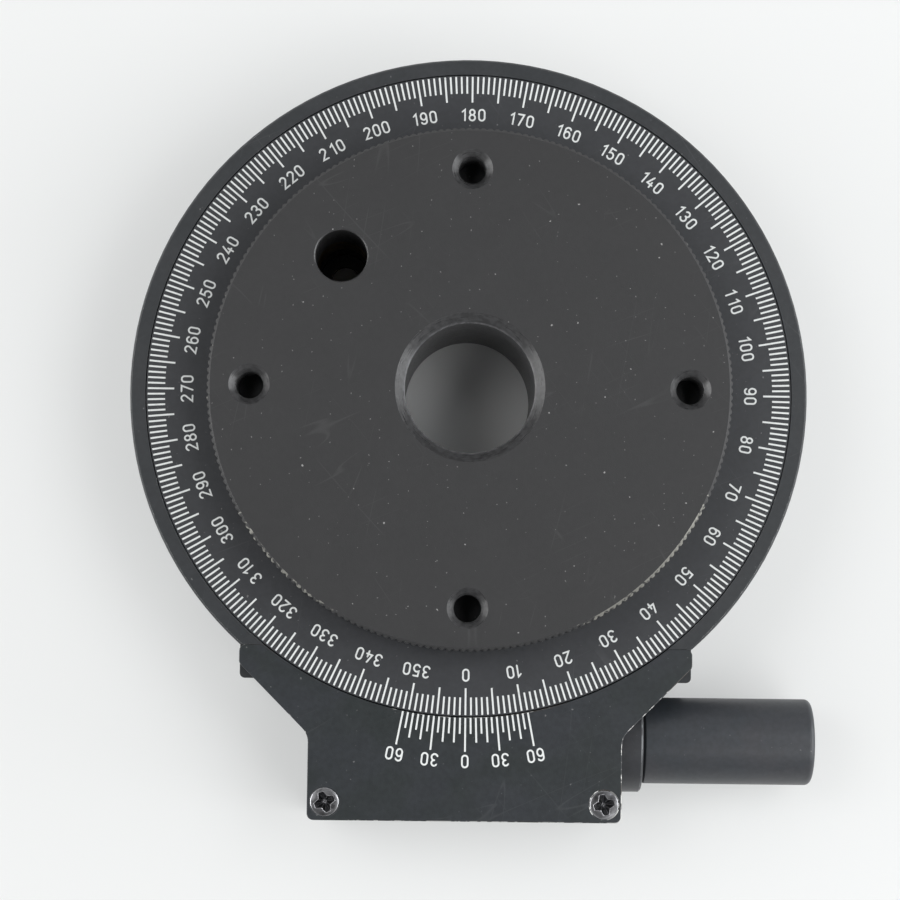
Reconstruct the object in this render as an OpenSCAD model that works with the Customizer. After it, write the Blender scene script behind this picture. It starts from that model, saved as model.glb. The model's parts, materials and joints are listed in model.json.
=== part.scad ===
// Manual worm-drive rotation stage with a 360 degree dial and a vernier plate.
// Origin: rotation axis at the mounting face. +Z up through the table, +X towards the drive knob.

/* [Body] */
// Wall of the body ring around the dial
ring_wall = 2.4; // [2:0.05:3]
// Thickness of the body's floor
floor_t = 4; // [3.6:0.2:4.6]
// Running gap between the dial and the body ring
dial_gap = 0.15; // [0.15:0.05:0.5]
// Width of the shoulder block at the front of the body
shoulder_w = 70; // [66:1:76]
// Distance from the front of the body ring back to the shoulder block's front face
shoulder_inset = 8.05; // [7:0.05:9]
// Width of the nose that holds the worm
nose_w = 48.4; // [47:0.2:52]
// Wall of the nose in front of the worm tunnel
nose_front_t = 6.4; // [6:0.1:8]
// Corner radius of the shoulder block and the nose
corner_r = 0.8; // [0.4:0.1:1.5]
// Chamfer on the turned edges of the body
body_chamfer = 0.3; // [0.1:0.1:0.4]

/* [Table] */
// Radius of the table over its knurl
table_r = 40.25; // [39:0.25:42]
// Thickness of the table above the dial face
table_t = 7.8; // [7.4:0.1:9]
// Chamfer on the table's rim
table_chamfer = 0.5; // [0.3:0.1:0.7]
// Number of grooves in the straight knurl
knurl_count = 230; // [180:10:240]
// Depth of the knurl grooves
knurl_depth = 0.3; // [0.2:0.05:0.4]
// Radius of the bore through the table
bore_r = 10; // [8:0.25:10.5]
// Chamfer at the top of the bore
bore_chamfer = 1.5; // [0.5:0.1:1.8]
// Outer radius of the table's hub, a standard bearing bore
hub_r = 15; // [15:0.1:15.4]
// Height of the hub's lower end above the mounting face
hub_z = 0.7; // [0.5:0.1:1]
// Distance of the tapped holes from the table's rim
table_hole_inset = 6.5; // [6:0.25:8]
// Radius of a tapped hole in the table, M5 before threading
table_hole_r = 2.1; // [1.6:0.1:2.5]
// Chamfer of the tapped holes in the table
table_hole_chamfer = 1; // [0.3:0.1:1.2]
// Radius of the screw access hole
access_r = 4; // [3.75:0.05:4.2]
// Chamfer at the mouth of the screw access hole
access_chamfer = 0.2; // [0.1:0.05:0.4]

/* [Mounting] */
// Spacing of the four base holes, along both sides of the square
base_pitch = 40; // [39:0.5:41]
// Radius of a base hole, clearance for M4
base_hole_r = 2.25; // [2.1:0.05:2.75]
// Radius of the counterbore of a base hole
base_cbore_r = 4; // [3.75:0.05:4.2]
// Depth of the counterbore of a base hole
base_cbore_t = 2; // [1:0.2:2.4]

/* [Dial and vernier plate] */
// Radius of the dial ring
dial_r = 50.2; // [49.8:0.1:50.6]
// Thickness of the dial ring
dial_t = 3.2; // [2.8:0.2:3.6]
// Radial width of the table's spigot, which centres the dial
spigot_w = 4.5; // [4.2:0.1:6]
// Thickness of the vernier plate
plate_t = 2; // [1.6:0.1:2.2]
// Distance from the front of the body ring back to the upper edge of the vernier plate
plate_top_inset = 13.25; // [12.5:0.05:14]
// Height of the straight sides of the plate's wide part
plate_ear_h = 2.9; // [2:0.1:4]
// Distance from the side and front edges of the plate to its screws
plate_screw_inset = 2.7; // [2.6:0.1:3.2]
// Corner radius of the vernier plate
plate_corner_r = 1; // [0.5:0.1:1.2]
// Radius of the vernier plate's two inner corners, beside the knob
plate_fillet_r = 3; // [2:0.5:4]
// Radius of a plate screw's thread, M2.5
plate_screw_r = 1.25; // [1:0.05:1.5]
// Radius of a plate screw's countersunk head
plate_head_r = 2.25; // [2:0.05:2.4]

/* [Worm drive] */
// Number of teeth on the worm wheel
wheel_teeth = 180; // [180:1:181]
// Distance of the wheel's pitch circle inside the dial's rim
wheel_inset = 0.7; // [0.6:0.1:2]
// Pitch radius of the worm
worm_pitch_r = 4.3; // [4.2:0.05:4.4]
// Width of the toothed rim
rim_w = 4; // [3:0.2:4]
// Height of the worm's axis above the mounting face
worm_z = 8.5; // [8.4:0.1:9]
// Number of turns of the worm's thread
thread_turns = 12; // [11:1:13]
// Length of the worm sleeve
worm_l = 29; // [28:0.5:30]
// Radius of the worm shaft
shaft_r = 3; // [2.6:0.05:3.1]
// Radial running clearance of the worm shaft in its bushes
shaft_fit = 0.03; // [0.02:0.01:0.06]
// Radius of the worm tunnel, which seats the two bush carriers
tunnel_r = 6; // [5.8:0.05:6.1]

/* [Knob] */
// Radius of the drive knob
knob_r = 6.75; // [6.5:0.25:7.5]
// Length of the drive knob
knob_l = 26.7; // [20:0.1:35]
// Rounding of the knob's outer edge
knob_round = 1; // [0.4:0.1:1.5]
// Clearance of the round flange beside the knob from the mounting face
flange_clear = 0.4; // [0.2:0.1:1]
// Thickness of the flange beside the knob
flange_t = 3.6; // [3:0.1:4]
// Gap between the flange and the knob
knob_gap = 0.2; // [0.2:0.05:0.5]

/* [Ball bearings] */
// Outer radius of the two table bearings
race_r = 21; // [20.8:0.1:21]
// Radius of the bearing balls
ball_r = 1.75; // [1.5:0.05:1.8]
// Number of balls in each bearing
ball_count = 20; // [16:1:22]
// Gap between a ball and its raceways
ball_fit = 0.04; // [0.03:0.01:0.08]

/* [Hidden] */
eps = 0.01;
fit = 0.02;

// Worm and wheel
wheel_pitch_r = dial_r - wheel_inset;
gear_m = 2 * wheel_pitch_r / wheel_teeth;
worm_y = -(wheel_pitch_r + worm_pitch_r);
addendum = 0.5;
dedendum = 0.65;
flank_tan = tan(20);
wheel_tooth_t = 0.71;
worm_thread_t = 0.6;
gear_pitch = PI * gear_m;
thread_steps = 24;
worm_root_r = worm_pitch_r - dedendum;

// Plan of the body
cavity_r = dial_r + dial_gap;
body_r = cavity_r + ring_wall;
shoulder_y = body_r - shoulder_inset;
plate_top_y = body_r - plate_top_inset;
nose_y = -worm_y + tunnel_r + nose_front_t;
plate_lip = 0.1;
plate_clear = 0.1;

// Heights: the vernier plate lies just over the worm's flange, and the dial is flush with it
flange_r = worm_z - flange_clear;
plate_z = worm_z + flange_r + plate_clear;
dial_z = plate_z + plate_t;
table_z = dial_z + table_t;
dial_low_z = dial_z - dial_t;

// Bearing stack, from its seat in the floor to just under the table
ring_t = 1.5;
ring_gap = 0.1;
seat_t = 1.5;
table_clear = 0.7;
race_z = floor_t - seat_t;
race_w = (dial_z - table_clear - ring_t - race_z) / 2;
race_top_z = race_z + 2 * race_w;
boss_top_z = race_top_z + ring_t;
ball_pitch_r = (hub_r + race_r) / 2;
race_land = 0.85;
race_lip = 2;
boss_wall = 3;
cage_t = 1.2;
cage_w = 2.6;
pocket_fit = 0.06;
slot_w = 2;
slot_t = 0.8;
ring_inset = 0.5;
lock_ring_gap = 0.8;
lock_hole_r = 0.75;
lock_hole_t = 1;
lock_screw_r = 0.48;
lock_screw_l = 2.6;

// Core of the table inside the knurl's grooves
knurl_core_gap = 0.05;
knurl_core_r = table_r - knurl_depth - knurl_core_gap;
knurl_top_inset = 0.15;
hub_chamfer = 0.3;
bore_low_chamfer = 0.5;
table_hole_pcr = table_r - table_hole_inset;

// Spigot under the table that centres the dial and carries the wheel
spigot_clear = 1.5;
spigot_r = race_r + boss_wall + spigot_clear;
dial_bore_r = spigot_r + spigot_w;

// Wheel body
wheel_in_gap = 0.5;
wheel_in_r = spigot_r - wheel_in_gap;
wheel_hub_wall = 4;
wheel_hub_r = dial_bore_r + wheel_hub_wall;
wheel_hub_t = 4.6;
rim_t = 5.5;
wheel_web_in_r = wheel_pitch_r - rim_t;
web_overlap = 1;
wheel_web_t = 2;

// Wheel and dial screws
wheel_screw_r = 1.5;
wheel_screw_pcr = spigot_r + spigot_w / 2;
wheel_head_r = 2.75;
wheel_head_t = 2;
wheel_seat_t = 1.8;
wheel_seat_z = dial_low_z - wheel_seat_t;
wheel_screw_reach = 2;
wheel_screw_top_z = dial_z + wheel_screw_reach;
wheel_hex_r = 1.15;
wheel_hex_t = 1.2;
dial_screw_r = 1.25;
dial_screw_inset = 3.25;
dial_screw_pcr = table_r - dial_screw_inset;
dial_head_r = 2.2;
dial_screw_reach = 3;
dial_screw_top_z = dial_z + dial_screw_reach;
dial_hex_r = 0.9;
dial_hex_t = 0.9;
dial_edge = 0.2;
hole_over = 0.5;

// Plate screws
plate_screw_l = 6.5;
recess_span = 2.6;
recess_t = 1.1;
recess_turn = 20;

// Worm bearings, measured along the worm's axis
side_x = nose_w / 2;
washer_t = 0.8;
washer_gap = 0.15;
washer_w = 0.6;
washer_x = worm_l / 2 + washer_gap / 2;
carrier_x = worm_l / 2 + washer_t + washer_gap;
bush_wall = 1.1;
bush_r = shaft_r + bush_wall;
plug_t = 3.4;
plug_slot_w = 1.2;
plug_slot_t = 1.2;
preload_t = 0.9;
preload_metal_t = 0.35;
end_carrier_x = side_x - plug_t - preload_t;
flange_chamfer = 0.3;
flange_relief = 0.25;
knob_x = side_x + flange_t + knob_gap;
knob_end_x = knob_x + knob_l;
knob_wall = 4;
knob_chamfer = 0.3;
shaft_end_gap = 0.6;
shaft_left_x = -(end_carrier_x - shaft_end_gap);
shaft_right_x = knob_end_x - knob_wall;
set_screw_r = 1.5;
set_hex_r = 0.87;
set_hex_t = 1.4;
knob_screw_inset = 6;
knob_screw_x = knob_x + knob_screw_inset;
knob_screw_l = 3;
shaft_flat_t = 0.4;
shaft_flat_l = 5;
backlash_screw_shift = 0.4;
backlash_screw_x = (carrier_x + end_carrier_x) / 2 + backlash_screw_shift;
backlash_screw_l = 4.6;

module at_worm() { translate([0, worm_y, worm_z]) rotate([0, 90, 0]) children(); }

// Cylinder along X on the worm's axis from x0 to x1
module worm_rod(r, x0, x1) { at_worm() translate([0, 0, x0]) cylinder(r = r, h = x1 - x0, $fn = 96); }

module ring(r_out, r_in, z0, z1) {
    translate([0, 0, z0]) difference() {
        cylinder(r = r_out, h = z1 - z0, $fn = 180);
        translate([0, 0, -1]) cylinder(r = r_in, h = z1 - z0 + 2, $fn = 180);
    }
}

module square_of_four(pitch) {
    for (x = [-1, 1], y = [-1, 1]) translate([x * pitch / 2, y * pitch / 2, 0]) children();
}

// Points of the arc that rounds the corner p between the corners a and b
function corner_arc(a, p, b, r) =
    let (
        u = (a - p) / norm(a - p),
        v = (b - p) / norm(b - p),
        half = acos(u * v) / 2,
        centre = p + (u + v) / norm(u + v) * r / sin(half),
        from = p + u * r / tan(half) - centre,
        to = p + v * r / tan(half) - centre,
        a0 = atan2(from[1], from[0]),
        turn = atan2(from[0] * to[1] - from[1] * to[0], from * to)
    )
    [for (i = [0:6]) centre + r * [cos(a0 + turn * i / 6), sin(a0 + turn * i / 6)]];

// Closed outline through the corners, each rounded by its own radius
function rounded(corners, radii) =
    let (n = len(corners))
    [for (i = [0:n - 1])
        each corner_arc(corners[(i + n - 1) % n], corners[i], corners[(i + 1) % n], radii[i])];

// ---------- stationary body ----------

module base_solid() {
    c = body_chamfer;
    rotate_extrude($fn = 240) polygon([
        [0, 0], [body_r - c, 0], [body_r, c], [body_r, dial_z - c], [body_r - c, dial_z], [0, dial_z]
    ]);
    linear_extrude(plate_z) polygon(rounded([
        [-side_x, -nose_y], [side_x, -nose_y], [side_x, -shoulder_y], [shoulder_w / 2, -shoulder_y],
        [shoulder_w / 2, -race_r], [-shoulder_w / 2, -race_r],
        [-shoulder_w / 2, -shoulder_y], [-side_x, -shoulder_y]
    ], [for (i = [0:7]) corner_r]));
}

module base_housing() {
    color("#3b3e41") difference() {
        base_solid();
        // Seat of the vernier plate
        translate([-body_r, -nose_y - 1, plate_z]) cube([2 * body_r, nose_y + 1 - plate_top_y, plate_t + 1]);
        // Cavity for the wheel and the dial, around the bearing boss
        difference() {
            translate([0, 0, floor_t]) cylinder(r = cavity_r, h = dial_z, $fn = 240);
            cylinder(r = race_r + boss_wall, h = boss_top_z, $fn = 180);
        }
        // Bearing seat and the opening under it
        translate([0, 0, race_z]) cylinder(r = race_r, h = dial_z, $fn = 180);
        translate([0, 0, -1]) cylinder(r = race_r - race_lip, h = dial_z, $fn = 180);
        // Base holes, reached through the table's access hole
        square_of_four(base_pitch) {
            translate([0, 0, -1]) cylinder(r = base_hole_r, h = floor_t + 2, $fn = 48);
            translate([0, 0, floor_t - base_cbore_t]) cylinder(r = base_cbore_r, h = floor_t, $fn = 64);
        }
        worm_rod(tunnel_r, -side_x - 1, side_x + 1);
        // Clearance around the flange, beside the nose
        worm_rod(flange_r + flange_relief, side_x, side_x + flange_t + knob_gap);
        backlash_screw_places() translate([0, 0, -1]) cylinder(r = set_screw_r, h = nose_y, $fn = 32);
        plate_screw_places() translate([0, 0, plate_t - plate_screw_l - hole_over])
            cylinder(r = plate_screw_r + fit, h = plate_screw_l + 1, $fn = 32);
    }
}

// ---------- vernier plate ----------

module plate_outline() {
    ear_x = shoulder_w / 2;
    ear_y = -plate_top_y - plate_ear_h;
    diagonal_y = ear_y - (ear_x - side_x);
    front_y = -nose_y - plate_lip;
    c = plate_corner_r;
    f = plate_fillet_r;
    difference() {
        polygon(rounded([
            [-side_x, front_y], [side_x, front_y], [side_x, diagonal_y], [ear_x, ear_y],
            [ear_x, -plate_top_y], [-ear_x, -plate_top_y], [-ear_x, ear_y], [-side_x, diagonal_y]
        ], [c, c, f, c, c, c, c, f]));
        circle(r = cavity_r, $fn = 360);
    }
}

module plate_screw_places() {
    for (s = [-1, 1])
        translate([s * (side_x - plate_screw_inset), -nose_y + plate_screw_inset, plate_z]) children();
}

module plate_screw_cut(r_head, r_thread) {
    head_t = r_head - r_thread;
    translate([0, 0, plate_t - head_t]) cylinder(r1 = r_thread, r2 = r_head, h = head_t, $fn = 48);
    translate([0, 0, -1]) cylinder(r = r_thread, h = plate_t + 1 - head_t + eps, $fn = 48);
}

module vernier_plate() {
    color("#383b3e") difference() {
        translate([0, 0, plate_z]) linear_extrude(plate_t) plate_outline();
        plate_screw_places() {
            plate_screw_cut(plate_head_r + fit, plate_screw_r + fit);
            translate([0, 0, plate_t - eps]) cylinder(r = plate_head_r + fit, h = 1, $fn = 48);
        }
    }
}

// Cross recess cut down from the top of a head
module cross_recess(span, depth) {
    for (a = [0, 90]) rotate(a) translate([-span / 2, -span / 9, -depth]) cube([span, span / 4.5, depth + 1]);
}

module vernier_plate_screws() {
    color("#6a6c6e") plate_screw_places() difference() {
        union() {
            plate_screw_cut(plate_head_r, plate_screw_r);
            translate([0, 0, plate_t - plate_screw_l])
                cylinder(r = plate_screw_r, h = plate_screw_l - plate_t + eps, $fn = 48);
        }
        translate([0, 0, plate_t]) rotate(recess_turn) cross_recess(recess_span, recess_t);
    }
}

// ---------- table bearings ----------

// Ring with a raceway groove in its inner or outer face
module race(z0, r_out, r_in) {
    translate([0, 0, z0]) rotate_extrude($fn = 180) difference() {
        translate([r_in, 0]) square([r_out - r_in, race_w]);
        translate([ball_pitch_r, race_w / 2]) circle(r = ball_r + ball_fit, $fn = 48);
    }
}

module outer_race(z0) { color("#b9bcc0") race(z0, race_r - fit, ball_pitch_r + race_land); }
module inner_race(z0) { color("#b9bcc0") race(z0, ball_pitch_r - race_land, hub_r + fit); }

module balls_at(z0) {
    for (i = [0:ball_count - 1])
        rotate(i * 360 / ball_count) translate([ball_pitch_r, 0, z0 + race_w / 2]) children();
}

module bearing_balls(z0) { color("#d5d8dc") balls_at(z0) sphere(r = ball_r, $fn = 32); }

module bearing_cage(z0) {
    middle = z0 + race_w / 2;
    color("#b08d4a") difference() {
        ring(ball_pitch_r + cage_t / 2, ball_pitch_r - cage_t / 2, middle - cage_w, middle + cage_w);
        balls_at(z0) rotate([0, 90, 0])
            cylinder(r = ball_r + pocket_fit, h = 3 * ball_r, center = true, $fn = 32);
    }
}

module lower_outer_race() { outer_race(race_z); }
module upper_outer_race() { outer_race(race_z + race_w); }
module lower_inner_race() { inner_race(race_z); }
module upper_inner_race() { inner_race(race_z + race_w); }
module lower_bearing_balls() { bearing_balls(race_z); }
module upper_bearing_balls() { bearing_balls(race_z + race_w); }
module lower_bearing_cage() { bearing_cage(race_z); }
module upper_bearing_cage() { bearing_cage(race_z + race_w); }

// Four slots for a spanner across the top or bottom face of a threaded ring
module spanner_slots(r, z0, h) {
    for (a = [45:90:315]) rotate(a)
        translate([r - slot_w / 2, -slot_w / 2, z0]) cube([2 * slot_w, slot_w, h]);
}

module bearing_retaining_ring() {
    color("#4a4c4f") difference() {
        ring(race_r - fit, race_r - race_lip + ring_inset, race_top_z, boss_top_z - ring_gap);
        spanner_slots(race_r - race_lip, boss_top_z - ring_gap - slot_t, slot_t + 1);
    }
}

module hub_lock_ring() {
    color("#4a4c4f") difference() {
        ring(race_r - race_lip - lock_ring_gap, hub_r + fit, hub_z, race_z);
        for (a = [0, 180]) rotate(a) translate([(hub_r + race_r - race_lip) / 2, 0, hub_z - 1])
            cylinder(r = lock_hole_r, h = lock_hole_t + 1, $fn = 24);
        lock_screw_place() cylinder(r = lock_screw_r + fit, h = 2 * lock_screw_l, $fn = 24);
    }
}

module lock_screw_place() {
    rotate(45) translate([hub_r + fit, 0, (hub_z + race_z) / 2]) rotate([0, 90, 0]) children();
}

module lock_ring_set_screw() {
    color("#55585b") lock_screw_place() cylinder(r = lock_screw_r, h = lock_screw_l, $fn = 24);
}

// ---------- rotating table ----------

module knurl_outline() {
    step = 360 / knurl_count;
    polygon([for (i = [0:2 * knurl_count - 1])
        let (r = table_r - (i % 2) * knurl_depth) [r * cos(i * step / 2), r * sin(i * step / 2)]
    ]);
}

module table_blank() {
    c = table_chamfer;
    translate([0, 0, dial_z + c]) linear_extrude(table_t - 2 * c) difference() {
        knurl_outline();
        circle(r = knurl_core_r - 1, $fn = 180);
    }
    rotate_extrude($fn = 240) polygon([
        [bore_r + bore_low_chamfer, hub_z], [hub_r - hub_chamfer, hub_z],
        [hub_r, hub_z + hub_chamfer], [hub_r, race_top_z],
        [ball_pitch_r - race_land, race_top_z], [ball_pitch_r - race_land, dial_z - eps],
        [ball_pitch_r, dial_z + eps], [spigot_r, dial_z + eps], [spigot_r, dial_low_z],
        [dial_bore_r - fit, dial_low_z], [dial_bore_r - fit, dial_z],
        [knurl_core_r - c, dial_z], [knurl_core_r, dial_z + c],
        [knurl_core_r, table_z - c], [knurl_core_r - knurl_top_inset, table_z],
        [bore_r + bore_chamfer, table_z], [bore_r, table_z - bore_chamfer], [bore_r, hub_z + bore_low_chamfer]
    ]);
}

module table_hole_places() {
    for (a = [0:90:270]) rotate(a) translate([table_hole_pcr, 0, 0]) children();
}

module access_hole(z0, z1) {
    translate([-base_pitch / 2, base_pitch / 2, z0 - 1]) cylinder(r = access_r, h = z1 - z0 + 2, $fn = 96);
}

module table() {
    color("#434446") difference() {
        table_blank();
        table_hole_places() {
            translate([0, 0, dial_z - 1]) cylinder(r = table_hole_r, h = table_t + 2, $fn = 48);
            translate([0, 0, table_z - table_hole_chamfer])
                cylinder(r1 = table_hole_r, r2 = table_hole_r + table_hole_chamfer,
                    h = table_hole_chamfer, $fn = 64);
        }
        access_hole(dial_low_z, table_z);
        translate([-base_pitch / 2, base_pitch / 2, table_z - access_chamfer])
            cylinder(r1 = access_r, r2 = access_r + access_chamfer, h = access_chamfer, $fn = 96);
        wheel_screw_places() translate([0, 0, dial_low_z - 1])
            cylinder(r = wheel_screw_r, h = wheel_screw_top_z - dial_low_z + 1 + hole_over, $fn = 32);
        dial_screw_places() translate([0, 0, dial_z - 1])
            cylinder(r = dial_screw_r, h = dial_screw_reach + 1 + hole_over, $fn = 32);
    }
}

module dial_screw_places() {
    for (a = [22.5:90:292.5]) rotate(a) translate([dial_screw_pcr, 0, 0]) children();
}

module wheel_screw_places() {
    for (a = [0:90:270]) rotate(a) translate([wheel_screw_pcr, 0, 0]) children();
}

module dial_screw_shape(extra) {
    head_t = dial_head_r - dial_screw_r;
    translate([0, 0, dial_low_z])
        cylinder(r1 = dial_head_r + extra, r2 = dial_screw_r + extra, h = head_t, $fn = 32);
    translate([0, 0, dial_low_z + head_t - eps])
        cylinder(r = dial_screw_r + extra, h = dial_screw_top_z - dial_low_z - head_t, $fn = 32);
}

module dial_ring() {
    edge = dial_edge;
    color("#393c40") difference() {
        rotate_extrude($fn = 360) polygon([
            [dial_bore_r, dial_low_z], [dial_r - edge, dial_low_z], [dial_r, dial_low_z + edge],
            [dial_r, dial_z - edge], [dial_r - edge, dial_z], [dial_bore_r, dial_z]
        ]);
        dial_screw_places() {
            dial_screw_shape(fit);
            translate([0, 0, dial_low_z - 1]) cylinder(r = dial_head_r + fit, h = 1 + eps, $fn = 32);
        }
        access_hole(dial_low_z, dial_z);
    }
}

module dial_ring_screws() {
    color("#55585b") dial_screw_places() difference() {
        dial_screw_shape(0);
        translate([0, 0, dial_low_z - 1]) cylinder(r = dial_hex_r, h = dial_hex_t + 1, $fn = 6);
    }
}

// Half thickness of a wheel tooth at radius r, as an angle
function tooth_half_angle(r) =
    (wheel_tooth_t / 2 - (r - wheel_pitch_r) * flank_tan) / r * 180 / PI;

module wheel_outline() {
    root = wheel_pitch_r - dedendum;
    tip = wheel_pitch_r + addendum;
    step = 360 / wheel_teeth;
    corners = [[root, -1], [tip, -1], [tip, 1], [root, 1]];
    polygon([for (i = [0:wheel_teeth - 1]) for (c = corners)
        let (a = -90 + (i + 0.5) * step + c[1] * tooth_half_angle(c[0])) [c[0] * cos(a), c[0] * sin(a)]
    ]);
}

module worm_wheel() {
    rim_low_z = worm_z - rim_w / 2;
    rim_top_z = worm_z + rim_w / 2;
    color("#b8924a") difference() {
        union() {
            difference() {
                translate([0, 0, rim_low_z]) linear_extrude(rim_w) wheel_outline();
                translate([0, 0, rim_low_z - 1]) cylinder(r = wheel_web_in_r, h = rim_w + 2, $fn = 180);
            }
            ring(wheel_web_in_r + web_overlap, wheel_hub_r - web_overlap, rim_top_z - wheel_web_t, rim_top_z);
            ring(wheel_hub_r, wheel_in_r, min(dial_low_z - wheel_hub_t, rim_top_z - wheel_web_t), dial_low_z);
        }
        wheel_screw_places() {
            translate([0, 0, rim_low_z]) cylinder(r = wheel_screw_r + fit, h = dial_z - rim_low_z, $fn = 32);
            translate([0, 0, rim_low_z])
                cylinder(r = wheel_head_r + fit, h = wheel_seat_z - rim_low_z, $fn = 48);
        }
        access_hole(rim_low_z, dial_low_z);
    }
}

module worm_wheel_screws() {
    color("#55585b") wheel_screw_places() difference() {
        union() {
            translate([0, 0, wheel_seat_z - wheel_head_t])
                cylinder(r = wheel_head_r, h = wheel_head_t, $fn = 48);
            translate([0, 0, wheel_seat_z - eps])
                cylinder(r = wheel_screw_r - fit, h = wheel_screw_top_z - wheel_seat_z, $fn = 32);
        }
        translate([0, 0, wheel_seat_z - wheel_head_t - 1])
            cylinder(r = wheel_hex_r, h = wheel_hex_t + 1, $fn = 6);
    }
}

// ---------- worm drive ----------

// Radius and offset along X of the four corners of the thread, t turns from its start.
// The thread rises out of the sleeve over its first half turn and sinks over its last.
function thread_corners(t) =
    let (
        rise = max(0, min(1, 2 * t, 2 * (thread_turns - t))),
        crest = worm_root_r + (addendum + dedendum) * rise,
        half_foot = worm_thread_t / 2 + dedendum * flank_tan,
        half_crest = half_foot - (crest - worm_root_r) * flank_tan
    )
    [[worm_root_r, -half_foot], [crest, -half_crest], [crest, half_crest], [worm_root_r, half_foot]];

// One closed section of the worm through its axis, at column j of thread_steps
function worm_column(j) =
    let (
        bore = (shaft_r + shaft_fit) / cos(180 / thread_steps),
        section = concat(
            [[bore, -worm_l / 2], [worm_root_r, -worm_l / 2]],
            [for (k = [0:thread_turns - 1]) let (t = k + j / thread_steps)
                for (c = thread_corners(t)) [c[0], (t - thread_turns / 2) * gear_pitch + c[1]]],
            [[worm_root_r, worm_l / 2], [bore, worm_l / 2]]
        ),
        a = 360 * j / thread_steps
    )
    [for (p = section) [p[1], p[0] * cos(a), p[0] * sin(a)]];

// Single-start right-hand worm along X. After one turn each thread runs on into the next,
// so the last column joins the first one four points further along.
module worm_solid() {
    rows = 4 * thread_turns + 4;
    last = (thread_steps - 1) * rows;
    points = [for (j = [0:thread_steps - 1]) each worm_column(j)];
    around = [for (j = [0:thread_steps - 2]) for (m = [0:rows - 1])
        let (a = j * rows + m, b = j * rows + (m + 1) % rows)
            each [[a, b, b + rows], [a, b + rows, a + rows]]];
    caps_and_bore = [for (m = [rows - 2, rows - 1, 0])
        let (a = last + m, b = last + (m + 1) % rows)
            each [[a, b, b - last], [a, b - last, a - last]]];
    seam = [for (m = [2:rows - 7]) let (a = last + m) each [[a, a + 1, m + 5], [a, m + 5, m + 4]]];
    start = concat([for (m = [1:5]) [last + 1, m + 1, m]], [[last + 1, last + 2, 6]]);
    end = [for (m = [rows - 6:rows - 3]) [last + m, last + m + 1, rows - 2]];
    polyhedron(points = points, faces = concat(around, caps_and_bore, seam, start, end), convexity = 20);
}

module worm() {
    color("#9a9ca0") translate([0, worm_y, worm_z]) worm_solid();
}

module worm_shaft() {
    color("#c3c6ca") difference() {
        worm_rod(shaft_r, shaft_left_x, shaft_right_x);
        // Flat under the knob's set screw
        translate([knob_screw_x - shaft_flat_l / 2, worm_y - shaft_r, worm_z - 2 * shaft_r + shaft_flat_t])
            cube([shaft_flat_l, 2 * shaft_r, shaft_r]);
    }
}

module thrust_washers() {
    color("#b08d4a") for (s = [-1, 1]) translate([s * (washer_x + washer_t / 2), 0, 0]) difference() {
        worm_rod(bush_r + washer_w, -washer_t / 2, washer_t / 2);
        worm_rod(shaft_r + fit, -washer_t, washer_t);
    }
}

module worm_flange() {
    color("#35383b") difference() {
        union() {
            at_worm() translate([0, 0, side_x]) rotate_extrude($fn = 128) polygon([
                [0, 0], [flange_r, 0], [flange_r, flange_t - flange_chamfer],
                [flange_r - flange_chamfer, flange_t], [0, flange_t]
            ]);
            worm_rod(tunnel_r - fit, carrier_x, side_x + eps);
        }
        worm_rod(bush_r, carrier_x - 1, side_x + flange_t + 1);
    }
}

module worm_end_carrier() {
    color("#55585b") difference() {
        worm_rod(tunnel_r - fit, -end_carrier_x, -carrier_x);
        worm_rod(bush_r, -end_carrier_x - 1, -carrier_x + 1);
    }
}

module worm_bush_right() {
    color("#c09a52") difference() {
        worm_rod(bush_r - fit, carrier_x, side_x + flange_t);
        worm_rod(shaft_r + shaft_fit, carrier_x - 1, side_x + flange_t + 1);
    }
}

module worm_bush_left() {
    color("#c09a52") difference() {
        worm_rod(bush_r - fit, -end_carrier_x, -carrier_x);
        worm_rod(shaft_r + shaft_fit, -end_carrier_x - 1, -carrier_x + 1);
    }
}

// Sprung conical washer between the end plug and the end carrier
module preload_washer() {
    metal_t = preload_metal_t;
    color("#9a9ca0") at_worm() translate([0, 0, -side_x + plug_t]) rotate_extrude($fn = 96) polygon([
        [bush_r, preload_t - metal_t], [bush_r, preload_t],
        [tunnel_r - 5 * fit, metal_t], [tunnel_r - 5 * fit, 0]
    ]);
}

module worm_end_plug() {
    color("#35383b") difference() {
        worm_rod(tunnel_r - fit, -side_x, -side_x + plug_t);
        translate([-side_x - 1, worm_y - tunnel_r, worm_z - plug_slot_w / 2])
            cube([plug_slot_t + 1, 2 * tunnel_r, plug_slot_w]);
    }
}

// Radial places on the nose's front face, one for each bush carrier
module backlash_screw_places() {
    for (s = [-1, 1])
        translate([s * backlash_screw_x, worm_y - tunnel_r, worm_z]) rotate([90, 0, 0]) children();
}

module backlash_set_screws() {
    color("#55585b") backlash_screw_places() difference() {
        cylinder(r = set_screw_r - fit, h = backlash_screw_l, $fn = 32);
        translate([0, 0, backlash_screw_l - set_hex_t]) cylinder(r = set_hex_r, h = set_hex_t + 1, $fn = 6);
    }
}

module drive_knob() {
    color("#2f3235") difference() {
        at_worm() rotate_extrude($fn = 160) {
            difference() {
                translate([0, knob_x]) square([knob_r, knob_end_x - knob_x]);
                translate([knob_r - knob_round, knob_end_x - knob_round]) square(knob_round + 1);
                translate([knob_r - knob_chamfer, knob_x])
                    polygon([[0, -1], [0, 0], [knob_chamfer, knob_chamfer], [1, knob_chamfer], [1, -1]]);
            }
            translate([knob_r - knob_round, knob_end_x - knob_round])
                intersection() { circle(r = knob_round, $fn = 48); square(knob_round); }
        }
        worm_rod(shaft_r + fit, knob_x - 1, shaft_right_x + hole_over);
        knob_screw_place() cylinder(r = set_screw_r, h = knob_r, $fn = 32);
    }
}

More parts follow.
